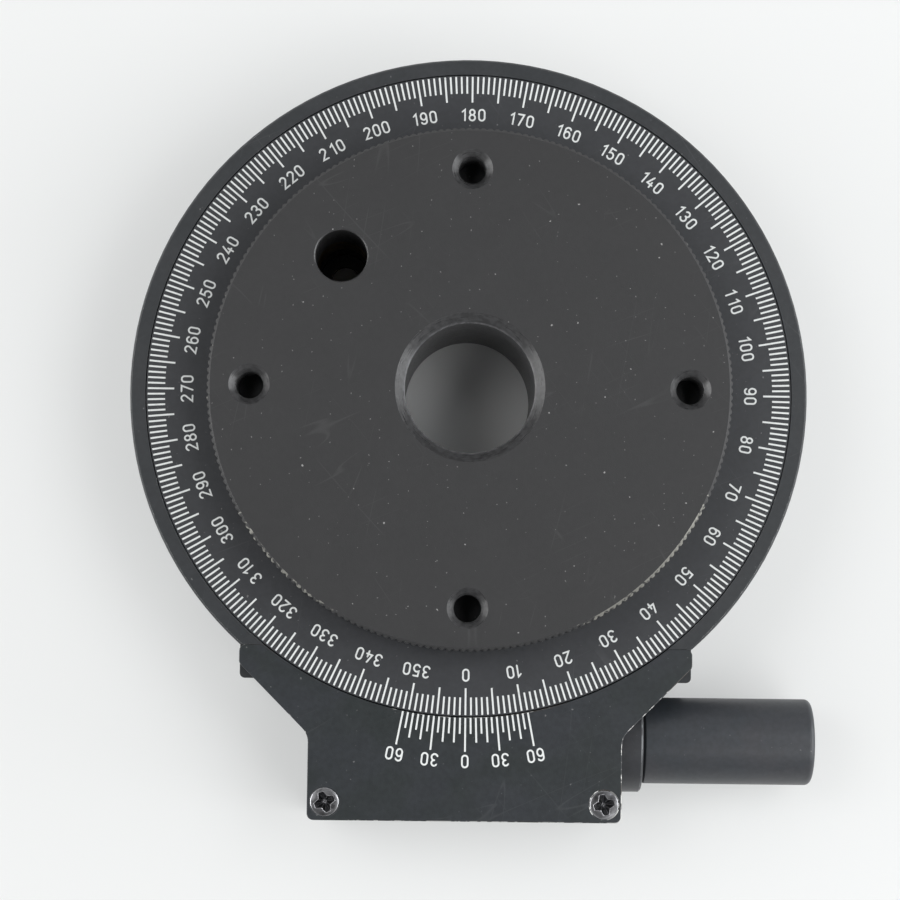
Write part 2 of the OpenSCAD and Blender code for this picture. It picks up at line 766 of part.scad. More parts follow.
// Radial place on the knob's underside, starting on the flat of the shaft
module knob_screw_place() {
    translate([knob_screw_x, worm_y, worm_z - shaft_r + shaft_flat_t]) rotate([180, 0, 0]) children();
}

module knob_set_screw() {
    color("#55585b") knob_screw_place() difference() {
        cylinder(r = set_screw_r - fit, h = knob_screw_l, $fn = 32);
        translate([0, 0, knob_screw_l - set_hex_t]) cylinder(r = set_hex_r, h = set_hex_t + 1, $fn = 6);
    }
}

base_housing();
vernier_plate();
vernier_plate_screws();
bearing_retaining_ring();
lower_outer_race();
upper_outer_race();
worm_flange();
worm_end_carrier();
worm_end_plug();
preload_washer();
worm_bush_right();
worm_bush_left();
backlash_set_screws();
table();
dial_ring();
dial_ring_screws();
worm_wheel();
worm_wheel_screws();
lower_inner_race();
upper_inner_race();
hub_lock_ring();
lock_ring_set_screw();
lower_bearing_balls();
lower_bearing_cage();
upper_bearing_balls();
upper_bearing_cage();
worm();
worm_shaft();
thrust_washers();
drive_knob();
knob_set_screw();
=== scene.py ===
"""Dressed model of a manual worm-drive rotation stage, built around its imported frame."""

import json
import logging
import math
from dataclasses import dataclass, field
from enum import Enum

import bmesh
import bpy
from mathutils import Matrix, Vector

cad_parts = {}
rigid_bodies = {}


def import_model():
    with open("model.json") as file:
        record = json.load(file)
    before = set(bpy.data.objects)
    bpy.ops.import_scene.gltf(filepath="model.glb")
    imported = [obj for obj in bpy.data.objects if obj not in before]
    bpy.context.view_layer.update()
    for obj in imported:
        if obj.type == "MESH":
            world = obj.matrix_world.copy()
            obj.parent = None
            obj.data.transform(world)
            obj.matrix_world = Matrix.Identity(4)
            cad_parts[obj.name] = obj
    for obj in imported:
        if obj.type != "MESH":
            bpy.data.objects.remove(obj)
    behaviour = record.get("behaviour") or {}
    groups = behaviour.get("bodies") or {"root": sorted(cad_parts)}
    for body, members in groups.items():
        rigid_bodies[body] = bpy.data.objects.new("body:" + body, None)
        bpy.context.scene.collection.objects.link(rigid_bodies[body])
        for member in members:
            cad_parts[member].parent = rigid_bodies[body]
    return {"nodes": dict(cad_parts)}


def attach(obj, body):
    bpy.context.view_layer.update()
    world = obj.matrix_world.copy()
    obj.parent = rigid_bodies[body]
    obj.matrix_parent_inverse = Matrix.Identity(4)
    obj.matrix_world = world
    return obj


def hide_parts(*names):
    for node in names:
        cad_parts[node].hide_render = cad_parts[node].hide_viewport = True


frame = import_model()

LOG = logging.getLogger("rotation_stage")
MM = 0.001
Colour = tuple[float, float, float]
Point = tuple[float, float, float]
Outline = list[tuple[float, float]]
BMesh = bmesh.types.BMesh
Object = bpy.types.Object
Material = bpy.types.Material
Socket = bpy.types.NodeSocket
Value = float | Socket

TABLE, BASE, DRIVE = "rotating_table", "base", "worm_drive"
INT, FLOAT, OBJECT, MATERIAL = (f"NodeSocket{kind}" for kind in ("Int", "Float", "Object", "Material"))
DIAL_Z = 18.7
DIAL_LOW_Z = 15.5
TABLE_Z = 26.5
WORM_Y = -53.8
WORM_Z = 8.5
ACCESS_X, ACCESS_Y, ACCESS_R, ACCESS_FOOT_Z = -20.0, 20.0, 4.0, 14.0
MARK_WIDTH = 0.28
MARK_THICKNESS = 0.04
CUT_OVER = 1.0
ARC_STEPS = 110


# ---------- node graphs ----------


class Graph:
    """Adds and links the nodes of one shader or geometry tree."""

    def __init__(self, tree: bpy.types.NodeTree) -> None:
        """Starts on an existing tree."""
        self.tree = tree

    def add(self, kind: str, settings: dict | None = None, inputs: dict | None = None) -> bpy.types.Node:
        """Adds one node.

        Args:
            kind: Blender's type name of the node.
            settings: the node's own properties.
            inputs: a value or a socket for each input, by name or index.

        Returns:
            The new node.
        """
        node = self.tree.nodes.new(kind)
        for key, value in (settings or {}).items():
            setattr(node, key, value)
        for key, value in (inputs or {}).items():
            self.feed(node.inputs[key], value)
        return node

    def out(self, kind: str, settings: dict | None = None, inputs: dict | None = None) -> Socket:
        """Adds one node and returns its first output."""
        return self.add(kind, settings, inputs).outputs[0]

    def feed(self, socket: Socket, value: object) -> None:
        """Links a socket to an input, or sets the input's value."""
        if isinstance(value, Socket):
            self.tree.links.new(value, socket)
        else:
            socket.default_value = value

    def math(self, operation: str, a: Value, b: Value = 0.0, clamp: bool = False) -> Socket:
        """Returns the result of a Math node."""
        settings = {"operation": operation, "use_clamp": clamp}
        return self.out("ShaderNodeMath", settings, {0: a, 1: b})

    def product(self, *values: Value) -> Socket:
        """Returns the product of several values."""
        total = values[0]
        for value in values[1:]:
            total = self.math("MULTIPLY", total, value)
        return total

    def ramp(self, value: Value, low: float, high: float, to_low: float = 0.0,
             to_high: float = 1.0) -> Socket:
        """Maps a value smoothly from one range to another.

        Args:
            value: the value to map.
            low: where the result is to_low.
            high: where the result is to_high.
            to_low: result at and below low.
            to_high: result at and above high.

        Returns:
            The mapped value.
        """
        ends = {"From Min": low, "From Max": high, "To Min": to_low, "To Max": to_high}
        curve = {"interpolation_type": "SMOOTHSTEP"}
        return self.out("ShaderNodeMapRange", curve, {"Value": value, **ends})


class Shader(Graph):
    """The node tree of one material, with patterns measured in millimetres."""

    def __init__(self, name: str) -> None:
        """Makes an empty material with its coordinates and its shader."""
        self.material = bpy.data.materials.new(name)
        self.material.use_nodes = True
        super().__init__(self.material.node_tree)
        self.tree.nodes.clear()
        self.coordinates = self.add("ShaderNodeTexCoord")
        self.mm = self.placed((0, 0, 0), (1 / MM,) * 3)
        self.bsdf = self.add("ShaderNodeBsdfPrincipled")
        self.output = self.add("ShaderNodeOutputMaterial", None, {"Surface": self.bsdf.outputs[0]})

    def placed(self, shift: Point, scale: Point) -> Socket:
        """Returns the object coordinates scaled and then moved."""
        inputs = {"Vector": self.coordinates.outputs["Object"], "Location": shift, "Scale": scale}
        return self.out("ShaderNodeMapping", None, inputs)

    def noise(self, per_mm: float, detail: float = 2.0, vector: Socket | None = None,
              distortion: float = 0.0) -> Socket:
        """Returns the value of a noise of so many blotches per millimetre."""
        inputs = {"Vector": vector or self.mm, "Scale": per_mm, "Detail": detail, "Distortion": distortion}
        return self.out("ShaderNodeTexNoise", None, inputs)

    def scaled(self, vector: Socket, factor: Value) -> Socket:
        """Returns a vector or colour multiplied by a number."""
        inputs = {0: vector, "Scale": factor}
        return self.out("ShaderNodeVectorMath", {"operation": "SCALE"}, inputs)

    def length(self, vector: Socket) -> Socket:
        """Returns the length of a vector."""
        return self.add("ShaderNodeVectorMath", {"operation": "LENGTH"}, {0: vector}).outputs["Value"]

    def paint(self, colour: Socket, roughness: Value) -> None:
        """Feeds the shader's colour and roughness."""
        self.feed(self.bsdf.inputs["Base Color"], colour)
        self.feed(self.bsdf.inputs["Roughness"], roughness)

    def bump(self, strength: float, depth: float, height: Socket) -> None:
        """Feeds the shader's normal with a bump, its depth in millimetres."""
        inputs = {"Strength": strength, "Distance": depth * MM, "Height": height}
        self.feed(self.bsdf.inputs["Normal"], self.out("ShaderNodeBump", None, inputs))

    def mix(self, factor: Value, a: object, b: object) -> Socket:
        """Returns one colour mixed into another."""
        mix = self.add("ShaderNodeMix", {"data_type": "RGBA"})
        self.feed(mix.inputs[0], factor)
        self.feed(mix.inputs[6], rgba(a))
        self.feed(mix.inputs[7], rgba(b))
        return mix.outputs[2]

    def upward(self) -> Socket:
        """Returns 1 where the surface faces up."""
        split = self.add("ShaderNodeSeparateXYZ", None, {0: self.coordinates.outputs["Normal"]})
        return self.ramp(split.outputs["Z"], 0.7, 0.9)

    def rings(self, per_mm: float) -> Socket:
        """Returns fine turning marks, level round any vertical axis."""
        across = self.placed((0, 0, 0), (0.05 / MM, 0.05 / MM, 1 / MM))
        return self.noise(per_mm, 2.0, across)

    def dust(self, spacing: float, size: float, share: float) -> Socket:
        """Scatters specks over the faces that look up.

        Args:
            spacing: mean distance between the places of specks, in millimetres.
            size: radius of the largest speck.
            share: part of the places that hold one.

        Returns:
            A mask, 1 on a speck.
        """
        warp = self.add("ShaderNodeTexNoise", None, {"Vector": self.mm, "Scale": 2.5, "Detail": 1.0})
        bend = self.scaled(warp.outputs["Color"], 0.35)
        place = self.out("ShaderNodeVectorMath", {"operation": "ADD"}, {0: self.mm, 1: bend})
        inputs = {"Vector": place, "Scale": 1 / spacing}
        cells = self.add("ShaderNodeTexVoronoi", {"voronoi_dimensions": "2D"}, inputs)
        chance = self.add("ShaderNodeSeparateColor", None, {0: cells.outputs["Color"]})
        reach = self.ramp(chance.outputs[0], 1 - share, 1.0, 0.0, size / spacing)
        gap = self.math("SUBTRACT", reach, cells.outputs["Distance"])
        speck = self.ramp(gap, 0.0, 0.3 * size / spacing)
        return self.product(speck, self.upward())

    def hairlines(self, per_mm: float, width: float, turn: float, stretch: float) -> Socket:
        """Draws long thin scratches along the level lines of a stretched noise.

        Args:
            per_mm: scale of the noise.
            width: share of the noise's range that a line takes.
            turn: direction of the scratches in degrees.
            stretch: how much longer than wide the noise is.

        Returns:
            A mask, 1 on a scratch.
        """
        grain = {"Rotation": (0, 0, math.radians(turn)), "Scale": (stretch * MM, MM, MM)}
        grain["Vector"] = self.coordinates.outputs["Object"]
        along = self.out("ShaderNodeMapping", {"vector_type": "TEXTURE"}, grain)
        level = self.math("ABSOLUTE", self.math("SUBTRACT", self.noise(per_mm, 0.0, along), 0.5))
        line = self.ramp(level, width, 0.0)
        gate = self.ramp(self.noise(0.09, 2.0), 0.5, 0.64)
        return self.product(line, gate)


def rgba(colour: object) -> object:
    """Gives a plain colour its alpha, and leaves a socket alone."""
    return colour if isinstance(colour, Socket) else (*colour, 1.0)


# ---------- finishes ----------


class Surface(Enum):
    """The kinds of face that a finish covers, in the order of the material slots."""

    FACE = "face"
    EDGE = "edge"
    TURNED = "turned"


@dataclass(frozen=True)
class WornSpot:
    """A place where an edge is painted closer to metal than elsewhere: partly wear, partly a painted
    highlight where the lamps' reflections fall.
    """

    place: Point
    reach: float
    strength: float


@dataclass(frozen=True)
class Anodised:
    """Black anodised aluminium, with mottling, dust, scratches and edges rubbed through to metal, which at
    the listed spots are partly painted highlights, and a bore wall painted lighter as painted light.
    """

    name: str
    colour: Colour
    tint: Colour
    roughness: float
    mottle: float = 0.2
    grain: float = 0.25
    dust: float = 0.2
    scratches: float = 0.15
    wear: float = 0.25
    worn_spots: tuple[WornSpot, ...] = ()
    warm: float = 0.0
    turned_roughness: float = 0.33
    turned_gloss: float = 0.62
    turned_tone: float = 1.2
    # The turned faces inside bore_r, the bore's shaded wall, get their colour multiplied by the factor below:
    # painted light.
    bore_r: float = 10.05
    bore_tone: float = 1.0
    # Metal colour of rubbed edges, also used for the painted highlights at the spots.
    bare: Colour = (0.5, 0.5, 0.49)
    brown: Colour = (0.16, 0.095, 0.04)

    def material(self, surface: Surface) -> Material:
        """Builds the material for flat faces, edges or turned faces.

        Args:
            surface: the kind of face.

        Returns:
            The finished material.
        """
        s = Shader(f"{self.name}_{surface.value}")
        blotch = s.ramp(s.noise(0.11, 3.0, distortion=0.6), 0.3, 0.7)
        fine = s.noise(1.3, 3.0)
        base = s.mix(s.product(blotch, self.mottle * 3), self.colour, self.tint)
        tone = s.ramp(fine, 0.25, 0.75, 1 - self.mottle * 0.5, 1 + self.mottle * 0.5)
        base = s.scaled(base, tone)
        rough = s.ramp(s.noise(0.35, 4.0), 0.3, 0.7, self.roughness - 0.015, self.roughness + 0.015)
        height = s.noise(7.0, 3.0)
        if surface is Surface.EDGE:
            brown = s.product(s.ramp(s.noise(0.06, 1.0), 0.5, 0.62), self.warm)
            # Painted highlights and wear: the mask turns edges to metal colour where they are rubbed and at
            # spots where reflections fall.
            wear_and_highlight = self.worn_mask(s)
            base = s.mix(wear_and_highlight, s.mix(brown, base, self.brown), self.bare)
            s.feed(s.bsdf.inputs["Metallic"], wear_and_highlight)
            rough = s.ramp(wear_and_highlight, 0.0, 1.0, self.roughness, 0.34)
        elif surface is Surface.TURNED:
            height = s.rings(9.0)
            cut_tone = s.ramp(height, 0.3, 0.7, 0.85 * self.turned_tone, 1.15 * self.turned_tone)
            patchy = s.ramp(s.noise(1.4, 2.0), 0.35, 0.65, 0.75, 1.35)
            from_axis = s.length(s.placed((0, 0, 0), (1 / MM, 1 / MM, 0)))
            # Painted light: the bore's wall, which lies in shade, is painted lighter by the bore factor.
            bore_painted_light = s.ramp(from_axis, self.bore_r, self.bore_r + 0.3, self.bore_tone, 1.0)
            base = s.scaled(base, s.product(cut_tone, patchy, bore_painted_light))
            s.bsdf.inputs["Specular IOR Level"].default_value = self.turned_gloss
            rough = s.ramp(height, 0.3, 0.7, self.turned_roughness - 0.06, self.turned_roughness + 0.08)
        else:
            base = self.lightly_used(s, base)
        s.paint(base, rough)
        s.bump(self.grain, 0.05, height)
        return s.material

    def lightly_used(self, s: Shader, base: Socket) -> Socket:
        """Adds hairline scratches and dust to a flat face's colour."""
        lines = [
            s.hairlines(per_mm, width, turn, 14.0)
            for per_mm, width, turn in ((0.3, 0.008, 25), (0.24, 0.007, -52), (0.2, 0.006, 80))
        ]
        line = s.math("MAXIMUM", s.math("MAXIMUM", lines[0], lines[1]), lines[2])
        base = s.mix(s.product(line, self.scratches), base, (0.3, 0.3, 0.3))
        specks = s.math("MAXIMUM", s.product(s.dust(1.5, 0.1, 0.3), 0.5), s.dust(4.2, 0.16, 0.3))
        return s.mix(s.math("MULTIPLY", specks, self.dust, True), base, (0.55, 0.55, 0.54))

    def worn_mask(self, s: Shader) -> Socket:
        """Returns a mask, 1 where the edge shows metal: wear, and painted highlights at the listed spots."""
        nicks = s.noise(1.1, 5.0, distortion=0.3)
        patch = s.noise(0.09, 2.0)
        level: Value = s.ramp(patch, 0.35, 0.7, self.wear * 0.3, self.wear)
        # Each spot raises the mask around it: partly wear, partly a painted highlight.
        for spot in self.worn_spots:
            at = s.placed(tuple(-c for c in spot.place), (1 / MM,) * 3)
            near = s.ramp(s.length(at), spot.reach, spot.reach * 0.5, 0.0, spot.strength)
            level = s.math("ADD", level, near)
        edge = s.math("SUBTRACT", s.math("ADD", nicks, level), 0.75)
        return s.ramp(edge, -0.04, 0.08)


@dataclass(frozen=True)
class Metal:
    """Bare metal, ground or turned about an axis."""

    name: str
    colour: Colour
    dark: Colour
    roughness: float
    lines_per_mm: float = 2.0
    stain: float = 0.35

    def material(self, surface: Surface) -> Material:
        """Builds the material; an edge is smoother than other faces and painted a little lighter, a painted
        highlight on the rounded rim, while turned faces, here only a screw's cross recess, are painted
        darker, a painted shade.
        """
        s = Shader(f"{self.name}_{surface.value}")
        stained = s.product(s.ramp(s.noise(0.6, 4.0, distortion=0.5), 0.35, 0.7), self.stain)
        base = s.mix(stained, self.colour, self.dark)
        lines = s.rings(self.lines_per_mm * 3)
        rough = s.ramp(lines, 0.3, 0.7, self.roughness - 0.05, self.roughness + 0.08)
        if surface is Surface.EDGE:
            # Painted highlight: the edge is painted lighter than the face, standing in for reflections on the
            # rounded rim.
            base = s.mix(stained, tuple(min(0.75, c * 2.2) for c in self.colour), self.colour)
            rough = s.math("MULTIPLY", rough, 0.85)
        elif surface is Surface.TURNED:
            # Painted shade: turned faces, here only the screws' cross recesses, are painted darker.
            base = s.mix(0.35, base, self.dark)
        s.paint(base, rough)
        s.bsdf.inputs["Metallic"].default_value = 1.0
        s.bump(0.15, 0.02, lines)
        return s.material


@dataclass(frozen=True)
class MarkFill:
    """Pale paint that fills the graduation, slightly uneven."""

    name: str
    colour: Colour
    thin: Colour
    roughness: float = 0.6

    def material(self) -> Material:
        """Builds the material."""
        s = Shader(self.name)
        base = s.mix(s.ramp(s.noise(1.1, 3.0), 0.55, 0.8), self.colour, self.thin)
        s.paint(base, s.ramp(s.noise(3.0), 0.3, 0.7, self.roughness - 0.1, self.roughness + 0.1))
        return s.material


@dataclass(frozen=True)
class Paper:
    """Pale matte floor, its shadow made milder to the eye outside the stage's own footprint."""

    name: str
    colour: Colour
    pale: Colour = (0.86, 0.875, 0.87)
    lift: float = 0.4
    inner_r: float = 44.0
    outer_r: float = 53.0

    def material(self) -> Material:
        """Builds the material."""
        s = Shader(self.name)
        shade = tuple(c * 0.97 for c in self.colour)
        base = s.mix(s.ramp(s.noise(0.01, 2.0), 0.3, 0.7, 0.0, 0.3), self.colour, shade)
        s.feed(s.bsdf.inputs["Base Color"], base)
        s.bsdf.inputs["Roughness"].default_value = 0.8
        s.bsdf.inputs["Specular IOR Level"].default_value = 0.2
        path = s.add("ShaderNodeLightPath").outputs
        seen = s.math("MAXIMUM", path["Is Camera Ray"], path["Is Glossy Ray"])
        seen = s.math("MAXIMUM", seen, path["Is Transmission Ray"])
        share = s.product(s.ramp(s.length(s.mm), self.inner_r, self.outer_r, 0.0, self.lift), seen)
        glow = s.out("ShaderNodeEmission", None, {"Color": rgba(self.pale), "Strength": 1.0})
        both = s.out("ShaderNodeMixShader", None, {0: share, 1: s.bsdf.outputs[0], 2: glow})
        s.feed(s.output.inputs["Surface"], both)
        return s.material


BODY_BLACK = Anodised(
    "body_black", (0.026, 0.029, 0.032), (0.034, 0.036, 0.039), 0.42, wear=0.2, scratches=0.06,
    # Spots on the housing's rim at lower left and lower right: partly wear, partly painted highlights where
    # the side lamps' reflections fall.
    worn_spots=(
        WornSpot((44.0, -29.0, DIAL_Z), 20.0, 0.2),
        WornSpot((-43.0, -30.5, DIAL_Z), 22.0, 0.16),
    ),
)
TABLE_BLACK = Anodised(
    "table_black", (0.0245, 0.0245, 0.0255), (0.029, 0.029, 0.03), 0.5, mottle=0.08, dust=0.5,
    # Painted light: the table's shaded bore wall is painted 2.5 times lighter.
    scratches=0.045, wear=0.05, bare=(0.3, 0.295, 0.27), bore_tone=2.5,
    # Spots on the table's rim at lower left and lower right: partly wear, partly painted highlights of the
    # rim's reflections.
    worn_spots=(
        WornSpot((-29.0, -28.0, TABLE_Z), 13.0, 0.22),
        WornSpot((29.0, -28.0, TABLE_Z), 18.0, 0.32),
    ),
)
DIAL_BLACK = Anodised(
    "dial_black", (0.031, 0.033, 0.037), (0.037, 0.039, 0.043), 0.45, mottle=0.15, wear=0.1, scratches=0.06,
)
PLATE_BLACK = Anodised(
    "plate_black", (0.02, 0.0245, 0.0255), (0.027, 0.03, 0.036), 0.38, mottle=0.25, wear=0.12, warm=0.15,
    scratches=0.05,
    # Spots along the plate's right side and front edge: partly wear, partly painted highlights where the key
    # and front light catch those edges.
    worn_spots=(
        WornSpot((28.0, -49.5, DIAL_Z), 8.0, 0.15),
        WornSpot((24.2, -58.0, DIAL_Z), 7.0, 0.12),
        WornSpot((24.2, -66.3, DIAL_Z), 3.0, 0.3),
        WornSpot((2.0, -66.3, DIAL_Z), 26.0, 0.16),
    ),
)
KNOB_BLACK = Anodised(
    "knob_black", (0.028, 0.033, 0.039), (0.038, 0.038, 0.043), 0.4, mottle=0.25, wear=0.45, warm=0.3,
    scratches=0.0,
)
# The flange's strong wear and dark metal colour paint the light line along its chamfer: partly wear, partly a
# painted highlight.
FLANGE_BLACK = Anodised(
    "flange_black", (0.026, 0.028, 0.032), (0.032, 0.033, 0.038), 0.4, wear=0.6, scratches=0.0,
    bare=(0.12, 0.125, 0.13),
)
SCREW_STEEL = Metal("screw_steel", (0.27, 0.27, 0.28), (0.045, 0.045, 0.047), 0.34, stain=0.9)
BEARING_STEEL = Metal("bearing_steel", (0.6, 0.61, 0.63), (0.45, 0.45, 0.45), 0.22)
BALL_STEEL = Metal("ball_steel", (0.72, 0.73, 0.75), (0.6, 0.6, 0.62), 0.1, stain=0.15)
BRONZE = Metal("bronze", (0.36, 0.235, 0.1), (0.1, 0.065, 0.03), 0.34, stain=0.9)
MARK_FILL = MarkFill("mark_fill", (0.74, 0.76, 0.75), (0.6, 0.62, 0.61))
FLOOR_PAPER = Paper("floor_paper", (0.84, 0.845, 0.84))


# ---------- mesh making ----------


def even_angles(steps: int) -> list[float]:
    """Returns the angles of evenly spaced columns, in radians."""
    return [math.tau * i / steps for i in range(steps)]


def at(x: float, y: float, z: float = 0.0) -> Matrix:
    """Returns the move to a place given in millimetres."""
    return Matrix.Translation((x * MM, y * MM, z * MM))


def lathe(bm: BMesh, profile: Outline, angles: list[float], place: Matrix | None = None,
          closed: bool = True) -> None:
    """Turns a profile of (radius, height) about Z.

    Args:
        bm: the mesh to add to.
        profile: points in millimetres, round the section with the metal on their left.
        angles: angle of each column.
        place: where the turned shape goes, in metres.
        closed: whether the last point joins the first.
    """
    columns = []
    for a in angles:
        column = {}
        for k, (r, z) in enumerate(profile):
            if r == 0 and columns:
                column[k] = columns[0][k]
                continue
            column[k] = bm.verts.new((r * math.cos(a) * MM, r * math.sin(a) * MM, z * MM))
        columns.append(column)
    n = len(profile)
    for left, right in zip(columns, columns[1:] + columns[:1]):
        for k in range(n if closed else n - 1):
            m = (k + 1) % n
            face = list(dict.fromkeys((left[k], right[k], right[m], left[m])))
            if len(face) > 2:
                bm.faces.new(face)
    if place is not None:
        fresh = {v for column in columns for v in column.values()}
        bmesh.ops.transform(bm, matrix=place, verts=list(fresh))


def rounded_corner(corner: tuple[float, float], before: tuple[float, float], after: tuple[float, float],
                   radius: float, steps: int) -> Outline:
    """Rounds one corner of an outline.

    Args:
        corner: the sharp corner.
        before: the corner before it.
        after: the corner after it.
        radius: of the rounding.
        steps: number of chords.

    Returns:
        The points of the arc.
    """
    p, a, b = Vector(corner), Vector(before), Vector(after)
    u, v = (a - p).normalized(), (b - p).normalized()
    half = u.angle(v) / 2
    centre = p + (u + v).normalized() * radius / math.sin(half)
    start = p + u * radius / math.tan(half) - centre
    end = p + v * radius / math.tan(half) - centre
    a0 = math.atan2(start.y, start.x)
    turn = math.atan2(start.x * end.y - start.y * end.x, start.dot(end))
    angles = [a0 + turn * i / steps for i in range(steps + 1)]
    return [(centre.x + radius * math.cos(a), centre.y + radius * math.sin(a)) for a in angles]


def prism(bm: BMesh, outline: Outline, low: float, high: float) -> None:
    """Adds the closed solid over an outline, between two heights in millimetres."""
    bottom = [bm.verts.new((x * MM, y * MM, low * MM)) for x, y in outline]
    top = [bm.verts.new((x * MM, y * MM, high * MM)) for x, y in outline]
    bm.faces.new(bottom[::-1])
    bm.faces.new(top)
    n = len(outline)
    for i in range(n):
        j = (i + 1) % n
        bm.faces.new((bottom[i], bottom[j], top[j], top[i]))


def new_object(name: str, bm: BMesh) -> Object:
    """Turns a finished bmesh into an object in the scene, its faces pointing outwards.

    Args:
        name: name of the piece.
        bm: its mesh, freed here.

    Returns:
        The new object.
    """
    bmesh.ops.remove_doubles(bm, verts=bm.verts, dist=1e-7)
    bmesh.ops.recalc_face_normals(bm, faces=bm.faces)
    mesh = bpy.data.meshes.new(name)
    bm.to_mesh(mesh)
    bm.free()
    obj = bpy.data.objects.new(name, mesh)
    bpy.context.scene.collection.objects.link(obj)
    return obj


def settle(obj: Object) -> None:
    """Bakes an object's modifiers into a plain mesh."""
    graph = bpy.context.evaluated_depsgraph_get()
    graph.update()
    mesh = bpy.data.meshes.new_from_object(obj.evaluated_get(graph), depsgraph=graph)
    obj.modifiers.clear()
    old, obj.data = obj.data, mesh
    mesh.name = obj.name
    bpy.data.meshes.remove(old)


def cut(obj: Object, *cutters: Object) -> None:
    """Cuts closed shapes out of an object and removes them."""
    for cutter in cutters:
        tool = obj.modifiers.new("cut", "BOOLEAN")
        tool.operation = "DIFFERENCE"
        tool.solver = "EXACT"
        tool.object = cutter
        settle(obj)
        bpy.data.objects.remove(cutter)


def soften(obj: Object, width: float, angle: float = 35.0, segments: int = 2) -> None:
    """Rounds an object's sharp edges and gives the rounding the edge material.

    Args:
        obj: the object, whose second material slot is for edges.
        width: of the rounding, in millimetres.
        angle: smallest angle in degrees of an edge that counts as sharp.
        segments: number of faces across the rounding.
    """
    bevel = obj.modifiers.new("soften", "BEVEL")
    bevel.width = width * MM
    bevel.segments = segments
    bevel.limit_method = "ANGLE"
    bevel.angle_limit = math.radians(angle)
    bevel.material = SLOT[Surface.EDGE]
    settle(obj)


def smooth(obj: Object, angle: float = 30.0) -> None:
    """Shades an object smooth, except over sharp edges and between two kinds of face.

    Args:
        obj: the object.
        angle: smallest angle in degrees of an edge that stays sharp.
    """
    mesh = obj.data
    mesh.polygons.foreach_set("use_smooth", [True] * len(mesh.polygons))
    mesh.set_sharp_from_angle(angle=math.radians(angle))
    first_kind: dict[int, int] = {}
    for polygon in mesh.polygons:
        for corner in polygon.loop_indices:
            edge = mesh.loops[corner].edge_index
            if first_kind.setdefault(edge, polygon.material_index) != polygon.material_index:
                mesh.edges[edge].use_edge_sharp = True
    mesh.update()


SLOT = {surface: place for place, surface in enumerate(Surface)}


def turned_cutter(name: str, bm: BMesh) -> Object:
    """Turns a mesh into a cutter that leaves turned faces behind."""
    for face in bm.faces:
        face.material_index = SLOT[Surface.TURNED]
    cutter = new_object(name, bm)
    dress(cutter, TABLE_BLACK)
    return cutter


def drill(name: str, radius: float, low: float, high: float, place: Matrix,
          columns: int = 96) -> Object:
    """Makes the cutter of a plain round hole along Z.

    Args:
        name: name of the cutter.
        radius: of the hole.
        low: where the hole starts.
        high: where it ends.
        place: where the hole goes, in metres.
        columns: number of faces round it.

    Returns:
        The cutter.
    """
    bm = bmesh.new()
    lathe(bm, [(0, low), (radius, low), (radius, high), (0, high)], even_angles(columns), place)
    return turned_cutter(name, bm)


def dress(obj: Object, finish: Anodised | Metal) -> None:
    """Gives a new object its finish, one slot for each kind of face."""
    for surface in Surface:
        obj.data.materials.append(made(finish, surface))


_MADE: dict[str, Material] = {}


def made(finish: Anodised | Metal, surface: Surface) -> Material:
    """Returns a finish's material, built once."""
    key = f"{finish.name}_{surface.value}"
    if key not in _MADE:
        _MADE[key] = finish.material(surface)
    return _MADE[key]


def mark_fill() -> Material:
    """Returns the material of the graduation, built once."""
    if MARK_FILL.name not in _MADE:
        _MADE[MARK_FILL.name] = MARK_FILL.material()
    return _MADE[MARK_FILL.name]


def hand_over(obj: Object, body: str, slot: str, *nodes: str) -> None:
    """Lets a piece ride on its body, in the place of its CAD nodes.

    Args:
        obj: the finished piece.
        body: name of the body that carries it.
        slot: not used.
        nodes: names of the CAD nodes that it stands for.
    """
    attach(obj, body)
    if nodes:
        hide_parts(*nodes)
    LOG.info("%s: %d faces on %s", obj.name, len(obj.data.polygons), body)


# ---------- geometry node tools ----------


